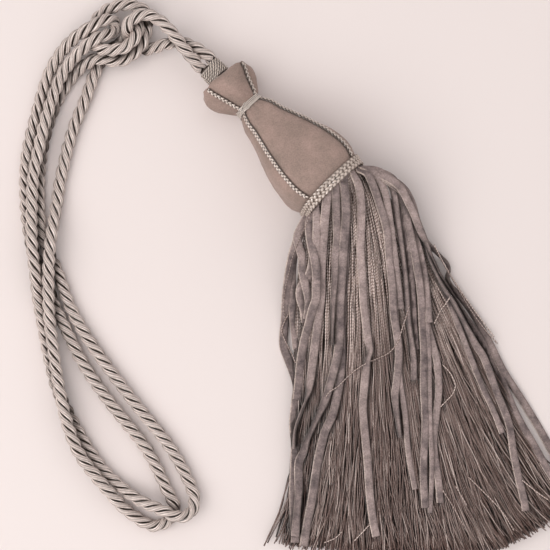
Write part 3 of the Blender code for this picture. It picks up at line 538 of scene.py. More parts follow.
class Skin:
    """Tubes gathered for one piece. Each corner keeps its distance along its tube in millimetres
    and its share of the way round it."""

    def __init__(self):
        self.points, self.quads, self.laid, self.ends = [], [], [], []
        self.kept = {title: [] for title in POINT_VALUES}
        self.count = 0

    def add_tube(self, rings, along, **given):
        """A tube through rings of equal size, closed at both ends. Each value that is given has a
        row for each ring or one for all, and a column for each side or one for all."""
        rows, sides, _ = rings.shape
        row, side = np.meshgrid(np.arange(rows - 1), np.arange(sides), indexing="ij")
        beside = (side + 1) % sides
        first = self.count
        corners = (
            (row, side, side), (row, beside, side + 1), (row + 1, beside, side + 1), (row + 1, side, side),
        )
        self.points.append(rings.reshape(-1, 3))
        self.quads.append(np.stack([first + r * sides + s for r, s, _ in corners], axis=-1).reshape(-1, 4))
        laid = [np.stack((along[r], turned / sides), axis=-1) for r, _, turned in corners]
        self.laid.append(np.stack(laid, axis=-2).reshape(-1, 2))
        for title, plain in POINT_VALUES.items():
            self.kept[title].append(np.broadcast_to(given.get(title, plain), (rows, sides)).ravel())
        self.ends.append(tuple(reversed(range(first, first + sides))))
        self.ends.append(tuple(range(first + (rows - 1) * sides, first + rows * sides)))
        self.count += rows * sides

    def make(self, name, material, slot, *replaced):
        """The finished piece, riding on the object's one body, and the nodes that it stands for."""
        points = np.concatenate(self.points)
        points[:, 2] = np.maximum(points[:, 2], 0.0)
        mesh = bpy.data.meshes.new(name)
        mesh.from_pydata((points * METRES).tolist(), [], np.concatenate(self.quads).tolist() + self.ends)
        laid = np.zeros((len(mesh.loops), 2))
        known = np.concatenate(self.laid)
        laid[:len(known)] = known
        mesh.uv_layers.new(name="laid").data.foreach_set("uv", laid.ravel())
        for title, values in self.kept.items():
            attribute = mesh.attributes.new(title, "FLOAT", "POINT")
            attribute.data.foreach_set("value", np.concatenate(values))
        mesh.shade_smooth()
        mesh.materials.append(material)
        piece = show(name, mesh)
        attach(piece, BODY)
        if replaced:
            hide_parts(*replaced)
        return piece


def round_section(sides, half_width, half_height):
    """Offsets of a round or oval section, as two columns."""
    angles = np.arange(sides) * math.tau / sides
    return np.stack((half_width * np.cos(angles), half_height * np.sin(angles)), axis=1)


def swept(path, side, other, section):
    """Rings of a section carried along a path."""
    return (
        path[:, None, :] + section[..., 0][..., None] * side[:, None, :]
        + section[..., 1][..., None] * other[:, None, :]
    )


def add_plain_cord(skin, path, first_side, radius=WAIST_CORD_RADIUS, sides=10):
    """A plain round cord along a path, its crown on the first side and painted shade on the far side."""
    side, other = carried_frame(path, first_side)
    section = round_section(sides, radius, radius)
    rings = swept(path, side, other, section[None])
    skin.add_tube(rings, reach_along(path), shade=0.5 + section[:, 0] / radius / 2.0)


def lay_ply(path, side, other, pitch, number, plies, distance):
    """One of a cord's twisted plies, that far from the path: its centre line and two unit sides."""
    turn = -math.tau * reach_along(path) / pitch + math.tau * number / plies
    out = side * np.cos(turn)[:, None] + other * np.sin(turn)[:, None]
    centre = path + out * distance
    ways = directions(centre)
    out = square_to(ways, out)
    return centre, out, np.cross(ways, out)


def add_plait(skin, path, outward, half_width, strand, pitch):
    """A flat plait of three strands along a path, in painted shade where each strand dives under. outward
    holds the way out at each point.
    """
    ways = directions(path)
    out = square_to(ways, outward)
    across = np.cross(ways, out)
    reach = reach_along(path)
    section = round_section(PLAIT_SIDES, *strand)
    crown = 0.5 + 0.5 * section[:, 1] / strand[1]
    for number in range(PLAIT_STRANDS):
        phase = math.tau * (reach / pitch + number / PLAIT_STRANDS)
        rise = np.sin(2.0 * phase)
        centre = path + across * (half_width * np.sin(phase))[:, None] + out * (PLAIT_RISE * rise)[:, None]
        run = directions(centre)
        beside = unit(np.cross(run, out))
        rings = swept(centre, beside, np.cross(beside, run), section[None])
        # Painted shade where each strand dives under the others, and on its sides.
        shade = (0.5 + 0.5 * rise)[:, None] * crown
        skin.add_tube(rings, reach, shade=shade, tint=number / PLAIT_STRANDS)


# ---- shader helpers ----

def put(tree, socket, value):
    """Links a socket to another one, or sets it to a number or colour."""
    if isinstance(value, bpy.types.NodeSocket):
        tree.links.new(value, socket)
    elif isinstance(value, tuple):
        socket.default_value = (*value, 1.0)
    else:
        socket.default_value = value


def add_node(tree, kind, values=(), **settings):
    """A node with its settings, and with a value or a link for each socket in values."""
    node = tree.nodes.new("ShaderNode" + kind)
    for title, setting in settings.items():
        setattr(node, title, setting)
    for key, value in dict(values).items():
        put(tree, node.inputs[key], value)
    return node


def calc(tree, operation, *values):
    """The result of a Math node."""
    return add_node(tree, "Math", enumerate(values), operation=operation).outputs[0]


def times(tree, first, second):
    return calc(tree, "MULTIPLY", first, second)


def spread(tree, value, low, high, to_low=0.0, to_high=1.0):
    """A value mapped from one range to another, and kept in it."""
    ranges = {"Value": value, "From Min": low, "From Max": high, "To Min": to_low, "To Max": to_high}
    return add_node(tree, "MapRange", ranges, clamp=True).outputs["Result"]


def blend_colour(tree, share, first, second, kind="MIX"):
    """Two colours mixed by a share."""
    values = {"Factor": share, "A": first, "B": second}
    node = add_node(tree, "Mix", values, data_type="RGBA", blend_type=kind)
    return next(socket for socket in node.outputs if socket.type == "RGBA")


def dim(tree, colour, value):
    """A colour made darker or lighter by a value."""
    grey = add_node(tree, "CombineColor", {title: value for title in ("Red", "Green", "Blue")})
    return blend_colour(tree, 1.0, colour, grey.outputs["Color"], "MULTIPLY")


def noise(tree, scale, detail=3.0, roughness=0.5):
    """Noise in the object's own space, in metres."""
    place = add_node(tree, "TexCoord").outputs["Object"]
    values = {"Vector": place, "Scale": scale, "Detail": detail, "Roughness": roughness}
    return add_node(tree, "TexNoise", values).outputs["Fac"]


def stored(tree, title):
    """A value that each point keeps."""
    return add_node(tree, "Attribute", attribute_name=title).outputs["Fac"]


def new_group(name, given, wanted):
    """A shader node group with its inputs (name and value) and outputs, all plain numbers."""
    group = bpy.data.node_groups.new(name, "ShaderNodeTree")
    for title, value in given.items():
        socket = group.interface.new_socket(title, in_out="INPUT", socket_type="NodeSocketFloat")
        socket.default_value = value
    for title in wanted:
        group.interface.new_socket(title, in_out="OUTPUT", socket_type="NodeSocketFloat")
    return group, group.nodes.new("NodeGroupInput").outputs, group.nodes.new("NodeGroupOutput").inputs


def use_group(tree, group, **values):
    """The group in a material, with its own values. Underscores stand for spaces."""
    named = {title.replace("_", " "): value for title, value in values.items()}
    return add_node(tree, "Group", named, node_tree=group).outputs


def make_twist_group():
    """Ridges that wind along a tube: 1 on each ridge and 0 in each groove."""
    values = {"Ridges": 2.0, "Turns per mm": 0.4, "Waver": 0.2, "Start": 0.0}
    group, given, result = new_group("wound_ridges", values, ["Ridge"])
    laid = add_node(group, "UVMap", uv_map="laid").outputs["UV"]
    split = add_node(group, "SeparateXYZ", {0: laid}).outputs
    along = times(group, split["X"], given["Turns per mm"])
    wound = calc(group, "MULTIPLY_ADD", split["Y"], given["Ridges"], along)
    waver = times(group, noise(group, 260.0), given["Waver"])
    wound = calc(group, "ADD", calc(group, "ADD", wound, given["Start"]), waver)
    wave = calc(group, "COSINE", times(group, wound, math.tau))
    group.links.new(calc(group, "MULTIPLY_ADD", wave, 0.5, 0.5), result["Ridge"])
    return group


def make_thread_group():
    """How light laid silk is: painted shade between its threads, and a tone that changes in soft patches
    along it.
    """
    values = {"Ridge": 1.0, "Groove Ends": 0.0, "Crest Starts": 0.8, "Groove": 0.85, "Crest": 1.0,
              "Patch Scale": 330.0, "Patch Detail": 2.0, "Patch Light": 1.1}
    group, given, result = new_group("silk_threads", values, ["Light"])
    # Painted shade between the threads.
    lines = spread(group, given["Ridge"], *(given[title] for title in list(values)[1:5]))
    patches = noise(group, given["Patch Scale"], given["Patch Detail"])
    patches = spread(group, patches, 0.3, 0.7, 0.86, given["Patch Light"])
    group.links.new(times(group, lines, patches), result["Light"])
    return group


def make_nap_group():
    """The nap of suede: broad brushed patches, fine grain, and the height of its pile."""
    values = {"Patch Scale": 60.0, "Grain Scale": 1500.0}
    group, given, result = new_group("suede_nap", values, ["Patches", "Grain", "Height"])
    patches = spread(group, noise(group, given["Patch Scale"], 5.0, 0.62), 0.33, 0.67)
    grain = spread(group, noise(group, given["Grain Scale"], 3.0, 0.65), 0.3, 0.7)
    group.links.new(patches, result["Patches"])
    group.links.new(grain, result["Grain"])
    group.links.new(calc(group, "MULTIPLY_ADD", patches, 0.4, grain), result["Height"])
    return group


TWIST = make_twist_group()
THREADS = make_thread_group()
NAP = make_nap_group()


def new_material(name, roughness, specular=0.5, sheen=0.0, sheen_tint=(1.0, 1.0, 1.0)):
    """A material and its node tree, with the shader's constant values set."""
    material = bpy.data.materials.new(name)
    material.use_nodes = True
    tree = material.node_tree
    set_shader(tree, {
        "Roughness": roughness, "Specular IOR Level": specular, "Sheen Weight": sheen,
        "Sheen Roughness": 0.45, "Sheen Tint": sheen_tint,
    })
    return material, tree


def set_shader(tree, values):
    """A value or a link for each of the shader's sockets in values."""
    for title, value in values.items():
        put(tree, tree.nodes["Principled BSDF"].inputs[title], value)


def dress(material, colour, height, depth, strength=1.0):
    """The material with its colour, and relief from a height between 0 and 1 that is so many metres
    deep."""
    tree = material.node_tree
    bump = add_node(tree, "Bump", {"Distance": depth, "Strength": strength, "Height": height})
    set_shader(tree, {"Base Color": colour, "Normal": bump.outputs["Normal"]})
    return material


def wound_ridges(tree, ridges, turns_per_mm, waver, start=0.0):
    values = {"Ridges": ridges, "Turns_per_mm": turns_per_mm, "Waver": waver, "Start": start}
    return use_group(tree, TWIST, **values)["Ridge"]


def make_suede(name, dark, light):
    """Brushed suede with soft patches and a fine nap, with painted shade along each seam and by the base
    band.
    """
    material, tree = new_material(name, roughness=0.9, specular=0.25, sheen=0.25, sheen_tint=(1.0, 0.9, 0.86))
    nap = use_group(tree, NAP, Patch_Scale=75.0, Grain_Scale=1150.0)
    grain = spread(tree, nap["Grain"], 0.0, 1.0, 0.82, 1.14)
    # Painted shade along the seams and beside the base band.
    seam_and_band_shade = spread(tree, stored(tree, "shade"), 0.3, 1.0, 1.0, 0.8)
    colour = dim(tree, blend_colour(tree, nap["Patches"], dark, light), times(tree, grain, seam_and_band_shade))
    return dress(material, colour, nap["Height"], depth=0.00016, strength=NAP_STRENGTH)


def make_silk(name, groove, crest, low, high, ridges=6.0, turns=0.3, thread_shade=0.85):
    """Glossy thread: painted shade in the grooves between plies and where strands pass under, with fine
    ridges along each ply. It turns from groove to crest between low and high, shares of a ply's own height."""
    material, tree = new_material(name, roughness=0.34, specular=0.6)
    ridge = wound_ridges(tree, ridges, turns, waver=0.15)
    # Painted shade in the grooves and where strands pass under; the crest is the thread's own colour.
    colour = blend_colour(tree, spread(tree, stored(tree, "shade"), low, high), groove, crest)
    light = use_group(tree, THREADS, Ridge=ridge, Groove=thread_shade)["Light"]
    return dress(material, dim(tree, colour, light), ridge, depth=0.00004)


def make_rope_finish(name, groove, rim, crest):
    """Silky plies: painted shade where they meet, a painted highlight along each side, and fine threads
    between, with painted shade where other plies lie higher.
    """
    material, tree = new_material(name, roughness=0.45, specular=0.35)
    ridge = wound_ridges(tree, float(PLY_THREADS), 1.0 / PLY_THREAD_PITCH, waver=0.12)
    crown = stored(tree, "shade")
    # Painted shade in the groove, a painted highlight along each side of a ply, then the crest's own colour.
    colour = blend_colour(tree, spread(tree, crown, 0.43, 0.61), groove, rim)
    colour = blend_colour(tree, spread(tree, crown, 0.61, 0.76), colour, crest)
    # Painted shade where other plies lie higher.
    colour = blend_colour(tree, stored(tree, "covered"), colour, groove)
    light = use_group(
        tree, THREADS, Ridge=ridge, Groove_Ends=0.05, Crest_Starts=0.65, Groove=0.6, Crest=1.1,
        Patch_Scale=420.0, Patch_Detail=3.0, Patch_Light=1.12,
    )["Light"]
    return dress(material, dim(tree, colour, light), ridge, depth=0.00012)


def make_yarn_finish(name, painted_hollow_shade, dull, light_and_highlight):
    """Yarn whose twist shows as flecks of painted highlight where it is twisted tight, and smooth where it
    has opened. Each yarn is a little different, with painted shade where other threads lie over or beside it."""
    material, tree = new_material(name, roughness=0.27)
    tint, spun = stored(tree, "tint"), stored(tree, "spun")
    ridge = wound_ridges(tree, 0.35, 1.0 / YARN_FLECK, waver=1.1, start=times(tree, tint, 97.3))
    # Painted highlights on the twist where the yarn is twisted tight.
    fleck_highlight = times(tree, spread(tree, ridge, 0.15, 0.65, 0.32, 1.3), spun)
    slack = times(tree, calc(tree, "POWER", tint, 4.0), 0.8)
    share = calc(tree, "ADD", fleck_highlight, times(tree, slack, calc(tree, "SUBTRACT", 1.0, spun)))
    lively = spread(tree, calc(tree, "FRACT", times(tree, tint, 5.0)), 0.0, 1.0, 0.35, 1.0)
    # Yarn twisted tight is kept light, for its painted highlights.
    lively = calc(tree, "MAXIMUM", lively, times(tree, spun, 0.6))
    colour = blend_colour(tree, times(tree, share, lively), dull, light_and_highlight)
    # Painted shade where other threads lie over or beside the yarn.
    colour = blend_colour(tree, stored(tree, "covered"), colour, painted_hollow_shade)
    set_shader(tree, {"Roughness": spread(tree, spun, 0.0, 1.0, 0.5, 0.22)})
    return dress(material, colour, times(tree, ridge, spun), depth=0.0003)


def make_ribbon_finish(name, dark, light, edge, painted_hollow_shade):
    """Suede tape with soft patches, a fine nap and paler edges from wear with painted light on one side,
    painted light close to the root, and painted shade where other ribbons lie higher.
    """
    material, tree = new_material(name, roughness=0.82, specular=0.3, sheen=0.3, sheen_tint=(1.0, 0.9, 0.87))
    nap = use_group(tree, NAP, Patch_Scale=130.0, Grain_Scale=1000.0)
    tone_and_root_light = calc(tree, "MULTIPLY_ADD", stored(tree, "tint"), 0.45, times(tree, nap["Patches"], 0.8))
    # Painted light close to the root.
    tone_and_root_light = calc(tree, "MULTIPLY_ADD", stored(tree, "spun"), 0.12, tone_and_root_light)
    colour = blend_colour(tree, spread(tree, tone_and_root_light, 0.1, 1.3), dark, light)
    # Paler edges from wear, with painted light on the minus side.
    worn_and_lit = spread(tree, stored(tree, "shade"), 0.3, 1.0)
    pale_edge = times(tree, worn_and_lit, spread(tree, nap["Grain"], 0.0, 1.0, 0.55, 1.0))
    colour = blend_colour(tree, pale_edge, colour, edge)
    colour = dim(tree, colour, spread(tree, nap["Grain"], 0.0, 1.0, 0.66, 1.22))
    # Painted shade where other ribbons lie higher.
    covered = spread(tree, stored(tree, "covered"), 0.0, 1.0, 0.0, 0.85)
    colour = blend_colour(tree, covered, colour, painted_hollow_shade)
    return dress(material, colour, nap["Height"], depth=0.0002, strength=NAP_STRENGTH)


SUEDE = make_suede("taupe_suede", dark=(0.268, 0.197, 0.165), light=(0.395, 0.274, 0.234))
# The rope's groove colour is painted shade and its rim colour a painted highlight.
ROPE_SILK = make_rope_finish(
    "rope_silk", groove=(0.07, 0.049, 0.039), rim=(1.0, 0.87, 0.81), crest=(0.63, 0.525, 0.48),
)
# Each silk's first colour is the painted shade in its grooves and under its crossings.
CORD_SILK = make_silk("pale_cord_silk", (0.1, 0.07, 0.056), (0.78, 0.65, 0.575), low=0.52, high=0.92)
BAND_SILK = make_silk("band_silk", (0.2, 0.143, 0.116), (0.66, 0.545, 0.478), low=0.52, high=0.92)
WRAP_SILK = make_silk("wrapping_silk", (0.06, 0.042, 0.034), (0.74, 0.63, 0.56), low=0.46, high=0.9)
WAIST_SILK = make_silk(
    "waist_silk", (0.13, 0.095, 0.08), (0.8, 0.69, 0.62), low=0.55, high=0.95, ridges=10.0, turns=0.1,
    thread_shade=0.8,
)
# The first colour is the yarn's painted shade, and the last both its lighter tone and its painted highlights.
YARN_SILK = make_yarn_finish(
    "yarn_silk", painted_hollow_shade=(0.03, 0.016, 0.012), dull=(0.147, 0.068, 0.05), light_and_highlight=(1.0, 0.81, 0.735),
)
# The last colour is the ribbon's painted shade; its edge colour is wear and painted light.
RIBBON_SUEDE = make_ribbon_finish(
    "ribbon_suede", dark=(0.1, 0.073, 0.073), light=(0.49, 0.372, 0.347), edge=(0.76, 0.61, 0.53),
    painted_hollow_shade=(0.028, 0.018, 0.016),
)


# ---- what lies on what ----

class HeightMap:
    """The top of what already lies on the table, on a grid of cells."""

    def __init__(self, corner, size):
        self.low = np.array(corner)
        self.size = size
        self.tops = np.zeros(size)

    def cells(self, points):
        found = np.round((points[..., :2] - self.low) / HEIGHT_CELL).astype(int)
        return np.clip(found[..., 0], 0, self.size[0] - 1), np.clip(found[..., 1], 0, self.size[1] - 1)

    def raise_to(self, rows, shares=(0.0, 1.0)):
        """Lifts the cells at those shares of the way from each row of points to the next."""
        for share in shares:
            points = rows[:-1] + (rows[1:] - rows[:-1]) * share
            np.maximum.at(self.tops, self.cells(points), points[..., 2])

    def at(self, points):
        return self.tops[self.cells(points)]

    def covers(self, points, depth, margin):
        """How far things beside and above hide the points, from 0 to 1: depth hides them wholly."""
        tops = np.pad(self.tops, 1)
        nearby = [tops[a:a + self.size[0], b:b + self.size[1]] for a in range(3) for b in range(3)]
        highest = np.max(nearby, axis=0)[self.cells(points)]
        return np.clip((highest - points[..., 2] - margin) / depth, 0.0, 1.0)


# ---- the cord ----

def make_rope():
    """Three silky plies twisted along the route, out of the whipping and back into it."""
    curve = smooth_curve(ROPE_ROUTE)
    path = even_points(curve, ROPE_STEP)
    reach = reach_along(path)
    side, other = carried_frame(path, np.cross(-ALONG, UP))
    columns = np.arange(4 * PLY_THREADS)
    angle = columns * math.tau / len(columns) + (math.tau * reach / PLY_THREAD_PITCH)[:, None]
    sunk = PLY_THREAD_DEPTH * (0.5 - 0.5 * np.cos(columns * math.pi / 2)) ** 1.5
    half = np.array((PLY_HALF_DEPTH, PLY_HALF_WIDTH)) - sunk[:, None]
    section = half * np.stack((np.cos(angle), np.sin(angle)), axis=-1)
    heights = HeightMap(ROPE_MAP_CORNER, ROPE_MAP_SIZE)
    plies = []
    for ply in range(ROPE_PLIES):
        plies.append(swept(*lay_ply(path, side, other, ROPE_PITCH, ply, ROPE_PLIES, PLY_CENTRE), section))
        heights.raise_to(plies[-1])
    skin = Skin()
    for rings in plies:
        # Painted shade where other plies lie higher; the crown value gives painted shade in the grooves.
        covered = heights.covers(rings, ROPE_SHADOW_DEPTH, ROPE_SHADOW_MARGIN)
        skin.add_tube(rings, reach, shade=(np.cos(angle) + 1.0) / 2.0, covered=covered)
    rope = skin.make("tieback_cord", ROPE_SILK, "rope", "rope")


# ---- the bell and what trims it ----

def make_bell():
    """The suede bell with its collar and waist, drawn in a little at each seam."""
    count = round((BELL_BASE_U - COLLAR_TOP_U) / BELL_STEP) + 1
    stations = np.linspace(COLLAR_TOP_U, BELL_BASE_U, count)
    stations = np.concatenate((stations[:1], stations[:1] + COLLAR_EDGE, stations[1:]))
    angle = math.radians(FIRST_SEAM_DEG) - math.tau * np.arange(BELL_SIDES) / BELL_SIDES
    u, angle = np.meshgrid(stations, angle, indexing="ij")
    from_seam = np.radians(seam_distance(angle)) * bell_radius(u, angle)
    pulled = np.exp(-(from_seam / SEAM_PULL_WIDTH) ** 2)
    near_waist = np.exp(-((np.abs(u - WAIST_U) - WAIST_HALF) / PLEAT_REACH) ** 2)
    pleat = np.sin(PLEAT_COUNT * angle + PLEAT_WAVER * np.sin(3.0 * angle)) * PLEAT_DEPTH * near_waist
    uneven = sum(np.sin(u / length + turns * angle + start) for length, turns, start in BELL_WAVES)
    uneven = BELL_UNEVEN * uneven * smoothstep((u - BELL_UNEVEN_FROM) / BELL_UNEVEN_REACH)
    rings = bell_side(u, angle, (pleat + uneven) * (1.0 - pulled) - SEAM_PULL * pulled)
    middle = bell_point(COLLAR_TOP_U, 0.0, 0.0)
    top = [middle + (rings[0] - middle) * share - ALONG * rise for share, rise in COLLAR_LID]
    rings = np.concatenate((np.array(top), rings))
    stations = np.concatenate((stations[:1] - 10.0, stations[:1] - 1.0, stations))
    # Painted shade on the suede along each seam and beside the base band.
    painted_band_shade = BAND_SHADE * np.exp(-((BELL_BASE_U - u) / BAND_SHADE_REACH) ** 2)
    shade = np.concatenate((pulled[:2] * 0.0, np.maximum(SEAM_SHADE * pulled, painted_band_shade)))
    skin = Skin()
    skin.add_tube(rings, stations, shade=shade)
    skin.make("suede_bell", SUEDE, "suede", "bell")


def make_seam_plaits():
    """A flat three-strand plait over each seam, pressed down where the waist cord crosses it."""
    u = np.arange(SEAM_START_U, SEAM_END_U, 0.25)
    pressed = 1.0 - smoothstep((np.abs(u - WAIST_U) - WAIST_CORD_HALF) / SEAM_PRESS_REACH)
    for seam in range(SEAM_COUNT):
        angle = math.radians(FIRST_SEAM_DEG + 360.0 * seam / SEAM_COUNT)
        line = bell_side(u, angle, PLAIT_LIFT - SEAM_PRESSED * pressed)
        path = even_points(line, PLAIT_STEP)
        out = bell_normal(np.interp(reach_along(path), reach_along(line), u), angle)
        skin = Skin()
        add_plait(skin, path, out, SEAM_PLAIT_HALF, SEAM_STRAND, SEAM_PLAIT_PITCH)
        skin.make(f"seam_plait_{seam + 1}", CORD_SILK, "braid", f"seam_braid_{seam + 1}")


def make_base_band():
    """The gimp band round the base: two plaits side by side."""
    skin = Skin()
    angle = np.radians(180.0 - np.arange(0.0, 360.1, 1.0))
    for row_u in BAND_ROWS_U:
        line = bell_side(row_u, angle, BAND_LIFT)
        path = even_points(line, PLAIT_STEP)
        around = -np.interp(reach_along(path), reach_along(line), -angle)
        add_plait(skin, path, bell_normal(row_u, around), BAND_PLAIT_HALF, BAND_STRAND, BAND_PLAIT_PITCH)
    skin.make("base_gimp", BAND_SILK, "braid", "base_band")


def waist_line(angle, off_waist, rise):
    """A run of waist cord, that far along from the waist and above what it crosses: it rides over
    the seam plaits."""
    lift = WAIST_CORD_LIFT + WAIST_CORD_RIDE * np.exp(-(seam_distance(angle) / WAIST_RIDE_DEG) ** 2)
    return bell_side(WAIST_U + off_waist, angle, lift + rise)


def make_waist_cord():
    """Five rows of fine glossy cord round the waist, crossed by two where they are knotted."""
    skin = Skin()
    angle = np.radians(180.0 - np.arange(0.0, 360.1, 2.0))
    for number, row in enumerate(WAIST_CORD_ROWS):
        line = waist_line(angle, row + WAIST_CORD_WAVER * np.sin(angle + row), WAIST_ROW_RISE * number)
        add_plain_cord(skin, even_points(line, 0.8), -UP)
    across = np.linspace(-1.0, 1.0, 31)
    angle = np.radians(WAIST_KNOT_DEG + WAIST_KNOT_HALF_DEG * across)
    turned = across * math.pi / 2
    for lean in (-1.0, 1.0):
        rise = WAIST_KNOT_RISE * np.cos(turned) + WAIST_ROW_RISE * lean
        line = waist_line(angle, lean * WAIST_KNOT_HALF * np.sin(turned), rise)
        add_plain_cord(skin, even_points(line, 0.5), ACROSS * math.sin(angle[0]) + UP * math.cos(angle[0]))
    skin.make("waist_wraps", WAIST_SILK, "fine_cord", "waist_cord")


def make_whipping():
    """Turns of fine twisted cord bound round both ends of the cord above the collar."""
    skin = Skin()
    share = np.linspace(0.0, 1.0, 40 * WHIPPING_TURNS + 1)
    angle = math.tau * WHIPPING_TURNS * share
    first_u = WHIPPING_START_U + WHIPPING_CORD_RADIUS
    last_u = WHIPPING_END_U - WHIPPING_CORD_RADIUS
    half_height = WHIPPING_HALF_HEIGHT - WHIPPING_CORD_RADIUS
    half_width = WHIPPING_HALF_WIDTH - WHIPPING_CORD_RADIUS
    wide = half_width - WHIPPING_NARROWING * (1.0 - share)
    line = bell_point(first_u + (last_u - first_u) * share, wide * np.sin(angle), half_height * np.cos(angle))
    path = even_points(line, WHIPPING_CORD_PITCH / 10)
    side, other = carried_frame(path, UP)
    ply_radius = WHIPPING_CORD_RADIUS * WHIPPING_PLY_SHARE
    section = round_section(WHIPPING_PLY_SIDES, ply_radius, ply_radius)
    for ply in range(WHIPPING_PLIES):
        laid = lay_ply(
            path, side, other, WHIPPING_CORD_PITCH, ply, WHIPPING_PLIES, WHIPPING_CORD_RADIUS - ply_radius,
        )
        # Painted shade on the side of each ply away from its crown.
        crown = (section[:, 0] / ply_radius + 1.0) / 2.0
        skin.add_tube(swept(*laid, section[None]), reach_along(path), shade=crown)
    # A core inside the turns, at shade 0 so it takes the darkest groove colour: painted shade between the
    # turns.
    share = np.linspace(0.0, 1.0, 6)[:, None]
    stations = WHIPPING_START_U + 0.5 + (WHIPPING_END_U - WHIPPING_START_U - 0.5) * share
    wide = half_width - WHIPPING_NARROWING * (1.0 - share) - WHIPPING_CORE_INSET
    angle = np.arange(24) * math.tau / 24
    core = bell_point(stations, -wide * np.sin(angle), (half_height - WHIPPING_CORE_INSET) * np.cos(angle))
    skin.add_tube(core, stations[:, 0], shade=0.0)
    skin.make("cord_binding", WRAP_SILK, "fine_cord", "whipping")


# ---- the skirt ----

def between(rows, place):
    """The values at a place from 0 to 1 along the rows, smooth at each row."""
    at = place * (len(rows) - 1)
    row = min(int(at), len(rows) - 2)
    before, start, end, after = (rows[min(max(row + k, 0), len(rows) - 1)] for k in (-1, 0, 1, 2))
    return eased(start, (end - before) / 2, end, (after - start) / 2, at - row)


def fan_path(place, root, t):
    """Plan positions in the skirt's fan, from the root (t = 0) to the tip (t = 1)."""
    x, y, tip_deg, root_deg = between(SKIRT_FAN, place)
    tip = np.array((x, y))
    span = np.linalg.norm(tip - root[:2])
    pulls = []
    for degrees, pull in ((root_deg, FAN_ROOT_PULL), (tip_deg, FAN_TIP_PULL)):
        way = math.radians(degrees)
        pulls.append(np.array((math.sin(way), -math.cos(way))) * span * pull)
    return eased(root[:2], pulls[0], tip, pulls[1], t[:, None])


def yarn_line(draw, place, depth, under):
    """The line of one yarn: depth runs from 0 on the outside to 1 in the middle of the bunch."""
    radius = SKIRT_ROOT_OUTER + (SKIRT_ROOT_INNER - SKIRT_ROOT_OUTER) * depth
    angle = math.radians(np.interp(place, ROOT_PLACES, ROOT_DEGREES))
    if under:
        angle = math.pi - math.radians(180.0 - SKIRT_ROOT_HALF_TURN) * (2.0 * place - 1.0)
    root = rim_point(angle, radius)
    t = np.linspace(0.0, 1.0 - YARN_UNEVEN * draw.random() ** 1.5, YARN_POINTS)
    gathered = place + LOCK_GATHER / LOCK_COUNT * math.sin(math.tau * LOCK_COUNT * place) / math.pi
    plan = fan_path(min(1.0, max(0.0, gathered)), root, t)
    side = directions(plan)[:, ::-1] * np.array((-1.0, 1.0))

    # Sideways: one long bend, shorter waves and fraying where it is loose, and fine crimp.
    loose = np.maximum(t - YARN_COMBED, 0.0)
    waving = YARN_WAVE * np.minimum(2.5 * loose, 1.0)
    inside = min(1.0, 9.0 * place * (1.0 - place) + 0.1)
    phase, second, third = (draw.random() * math.tau for _ in range(3))
    wander = YARN_WANDER * (draw.random() + 0.25) * t * np.sin(YARN_BENDS[0] * t + phase)
    wander += waving * draw.random() * np.sin(YARN_BENDS[1] * t + third)
    wander += 0.55 * waving * draw.random() * np.sin(YARN_BENDS[2] * t + second)
    wander += YARN_FRAY * draw.gauss(0.0, 1.0) * loose ** 2 * inside
    if place > YARN_SWEEP_PLACE:
        lean = math.sin(math.pi * (place - YARN_SWEEP_PLACE) / (1.0 - YARN_SWEEP_PLACE))
    else:
        lean = math.sin(math.pi * place / YARN_SWEEP_PLACE) * -YARN_LEFT_SWEEP
    wander += YARN_SWEEP * lean * draw.random() * (1.0 - depth) ** 2 * (loose / (1.0 - YARN_COMBED)) ** 2
    crimp = np.sin(np.arange(YARN_POINTS) * (1.1 + 0.9 * draw.random()) + second)
    crimp += 0.4 * np.array([draw.gauss(0.0, 1.0) for _ in range(YARN_POINTS)])
    plan = plan + side * (wander + YARN_CRIMP * crimp * np.minimum(t * 8.0, 1.0))[:, None]

    # Height: a fall from the root to the pile, and small lifts on the way.
    edge = abs(2.0 * place - 1.0) ** 3
    highest = (UNDER_HEIGHT if under else PILE_HEIGHT) * (1.0 - PILE_EDGE_DROP * edge)
    tip_height = PILE_LOW + (highest - PILE_LOW) * (depth if under else 1.0 - depth)
    fallen = 1.0 - (1.0 - np.minimum(1.0, t / FALL_SHARE)) ** FALL_POWER
    height = root[2] + (tip_height - root[2]) * fallen
    lifts = zip(YARN_LIFTS, (second, phase, third))
    lift = sum(high * np.sin(bends * t + start) for (high, bends), start in lifts)
    height += lift * np.minimum(t * 5.0, 1.0)
    line = np.column_stack((plan, np.maximum(height, YARN_RADIUS)))
    line[0] = root
    return line, t


def add_yarn(skin, line, radius, covered, tint, spun):
    """One yarn of three-sided section along a line, its lower corners in painted shade."""
    side, other = carried_frame(line, (0.0, 0.0, 1.0))
    flat = np.stack((1.0 - YARN_SPUN_FLAT * spun, np.ones(len(line))), axis=1)
    section = round_section(YARN_SIDES, 1.0, 1.0) * (flat * np.reshape(radius, (-1, 1)))[:, None]
    # Painted shade on the two lower corners, less where the yarn is twisted tight.
    own = (YARN_SIDE_SHADE - YARN_SPUN_LIGHT * spun)[:, None] * np.array((0.0, 1.0, 1.0))
    skin.add_tube(
        swept(line, side, other, section), reach_along(line), tint=tint, spun=spun[:, None],
        covered=np.maximum(np.reshape(covered, (-1, 1)), own),
    )


def lay_yarns(heights):
    """The lines of all the yarns, each with its places from root to tip, its piece's number, and
    how much painted shade it takes from lying between two locks."""
    draw = random.Random(YARN_SEED)
    lines = []
    for number in range(YARN_COUNT + UNDER_COUNT):
        under = number >= YARN_COUNT
        place = draw.random()
        line, t = yarn_line(draw, place, draw.random() ** 1.6, under)
        # How far the yarn lies between two locks, for painted shade there.
        painted_hollow_shade = 0.5 - 0.5 * math.cos(math.tau * LOCK_COUNT * place)
        lines.append((line, t, 2 if under else number % 2, painted_hollow_shade ** 3))
        heights.raise_to(line, np.arange(0.0, 1.0, 0.125))
    return lines


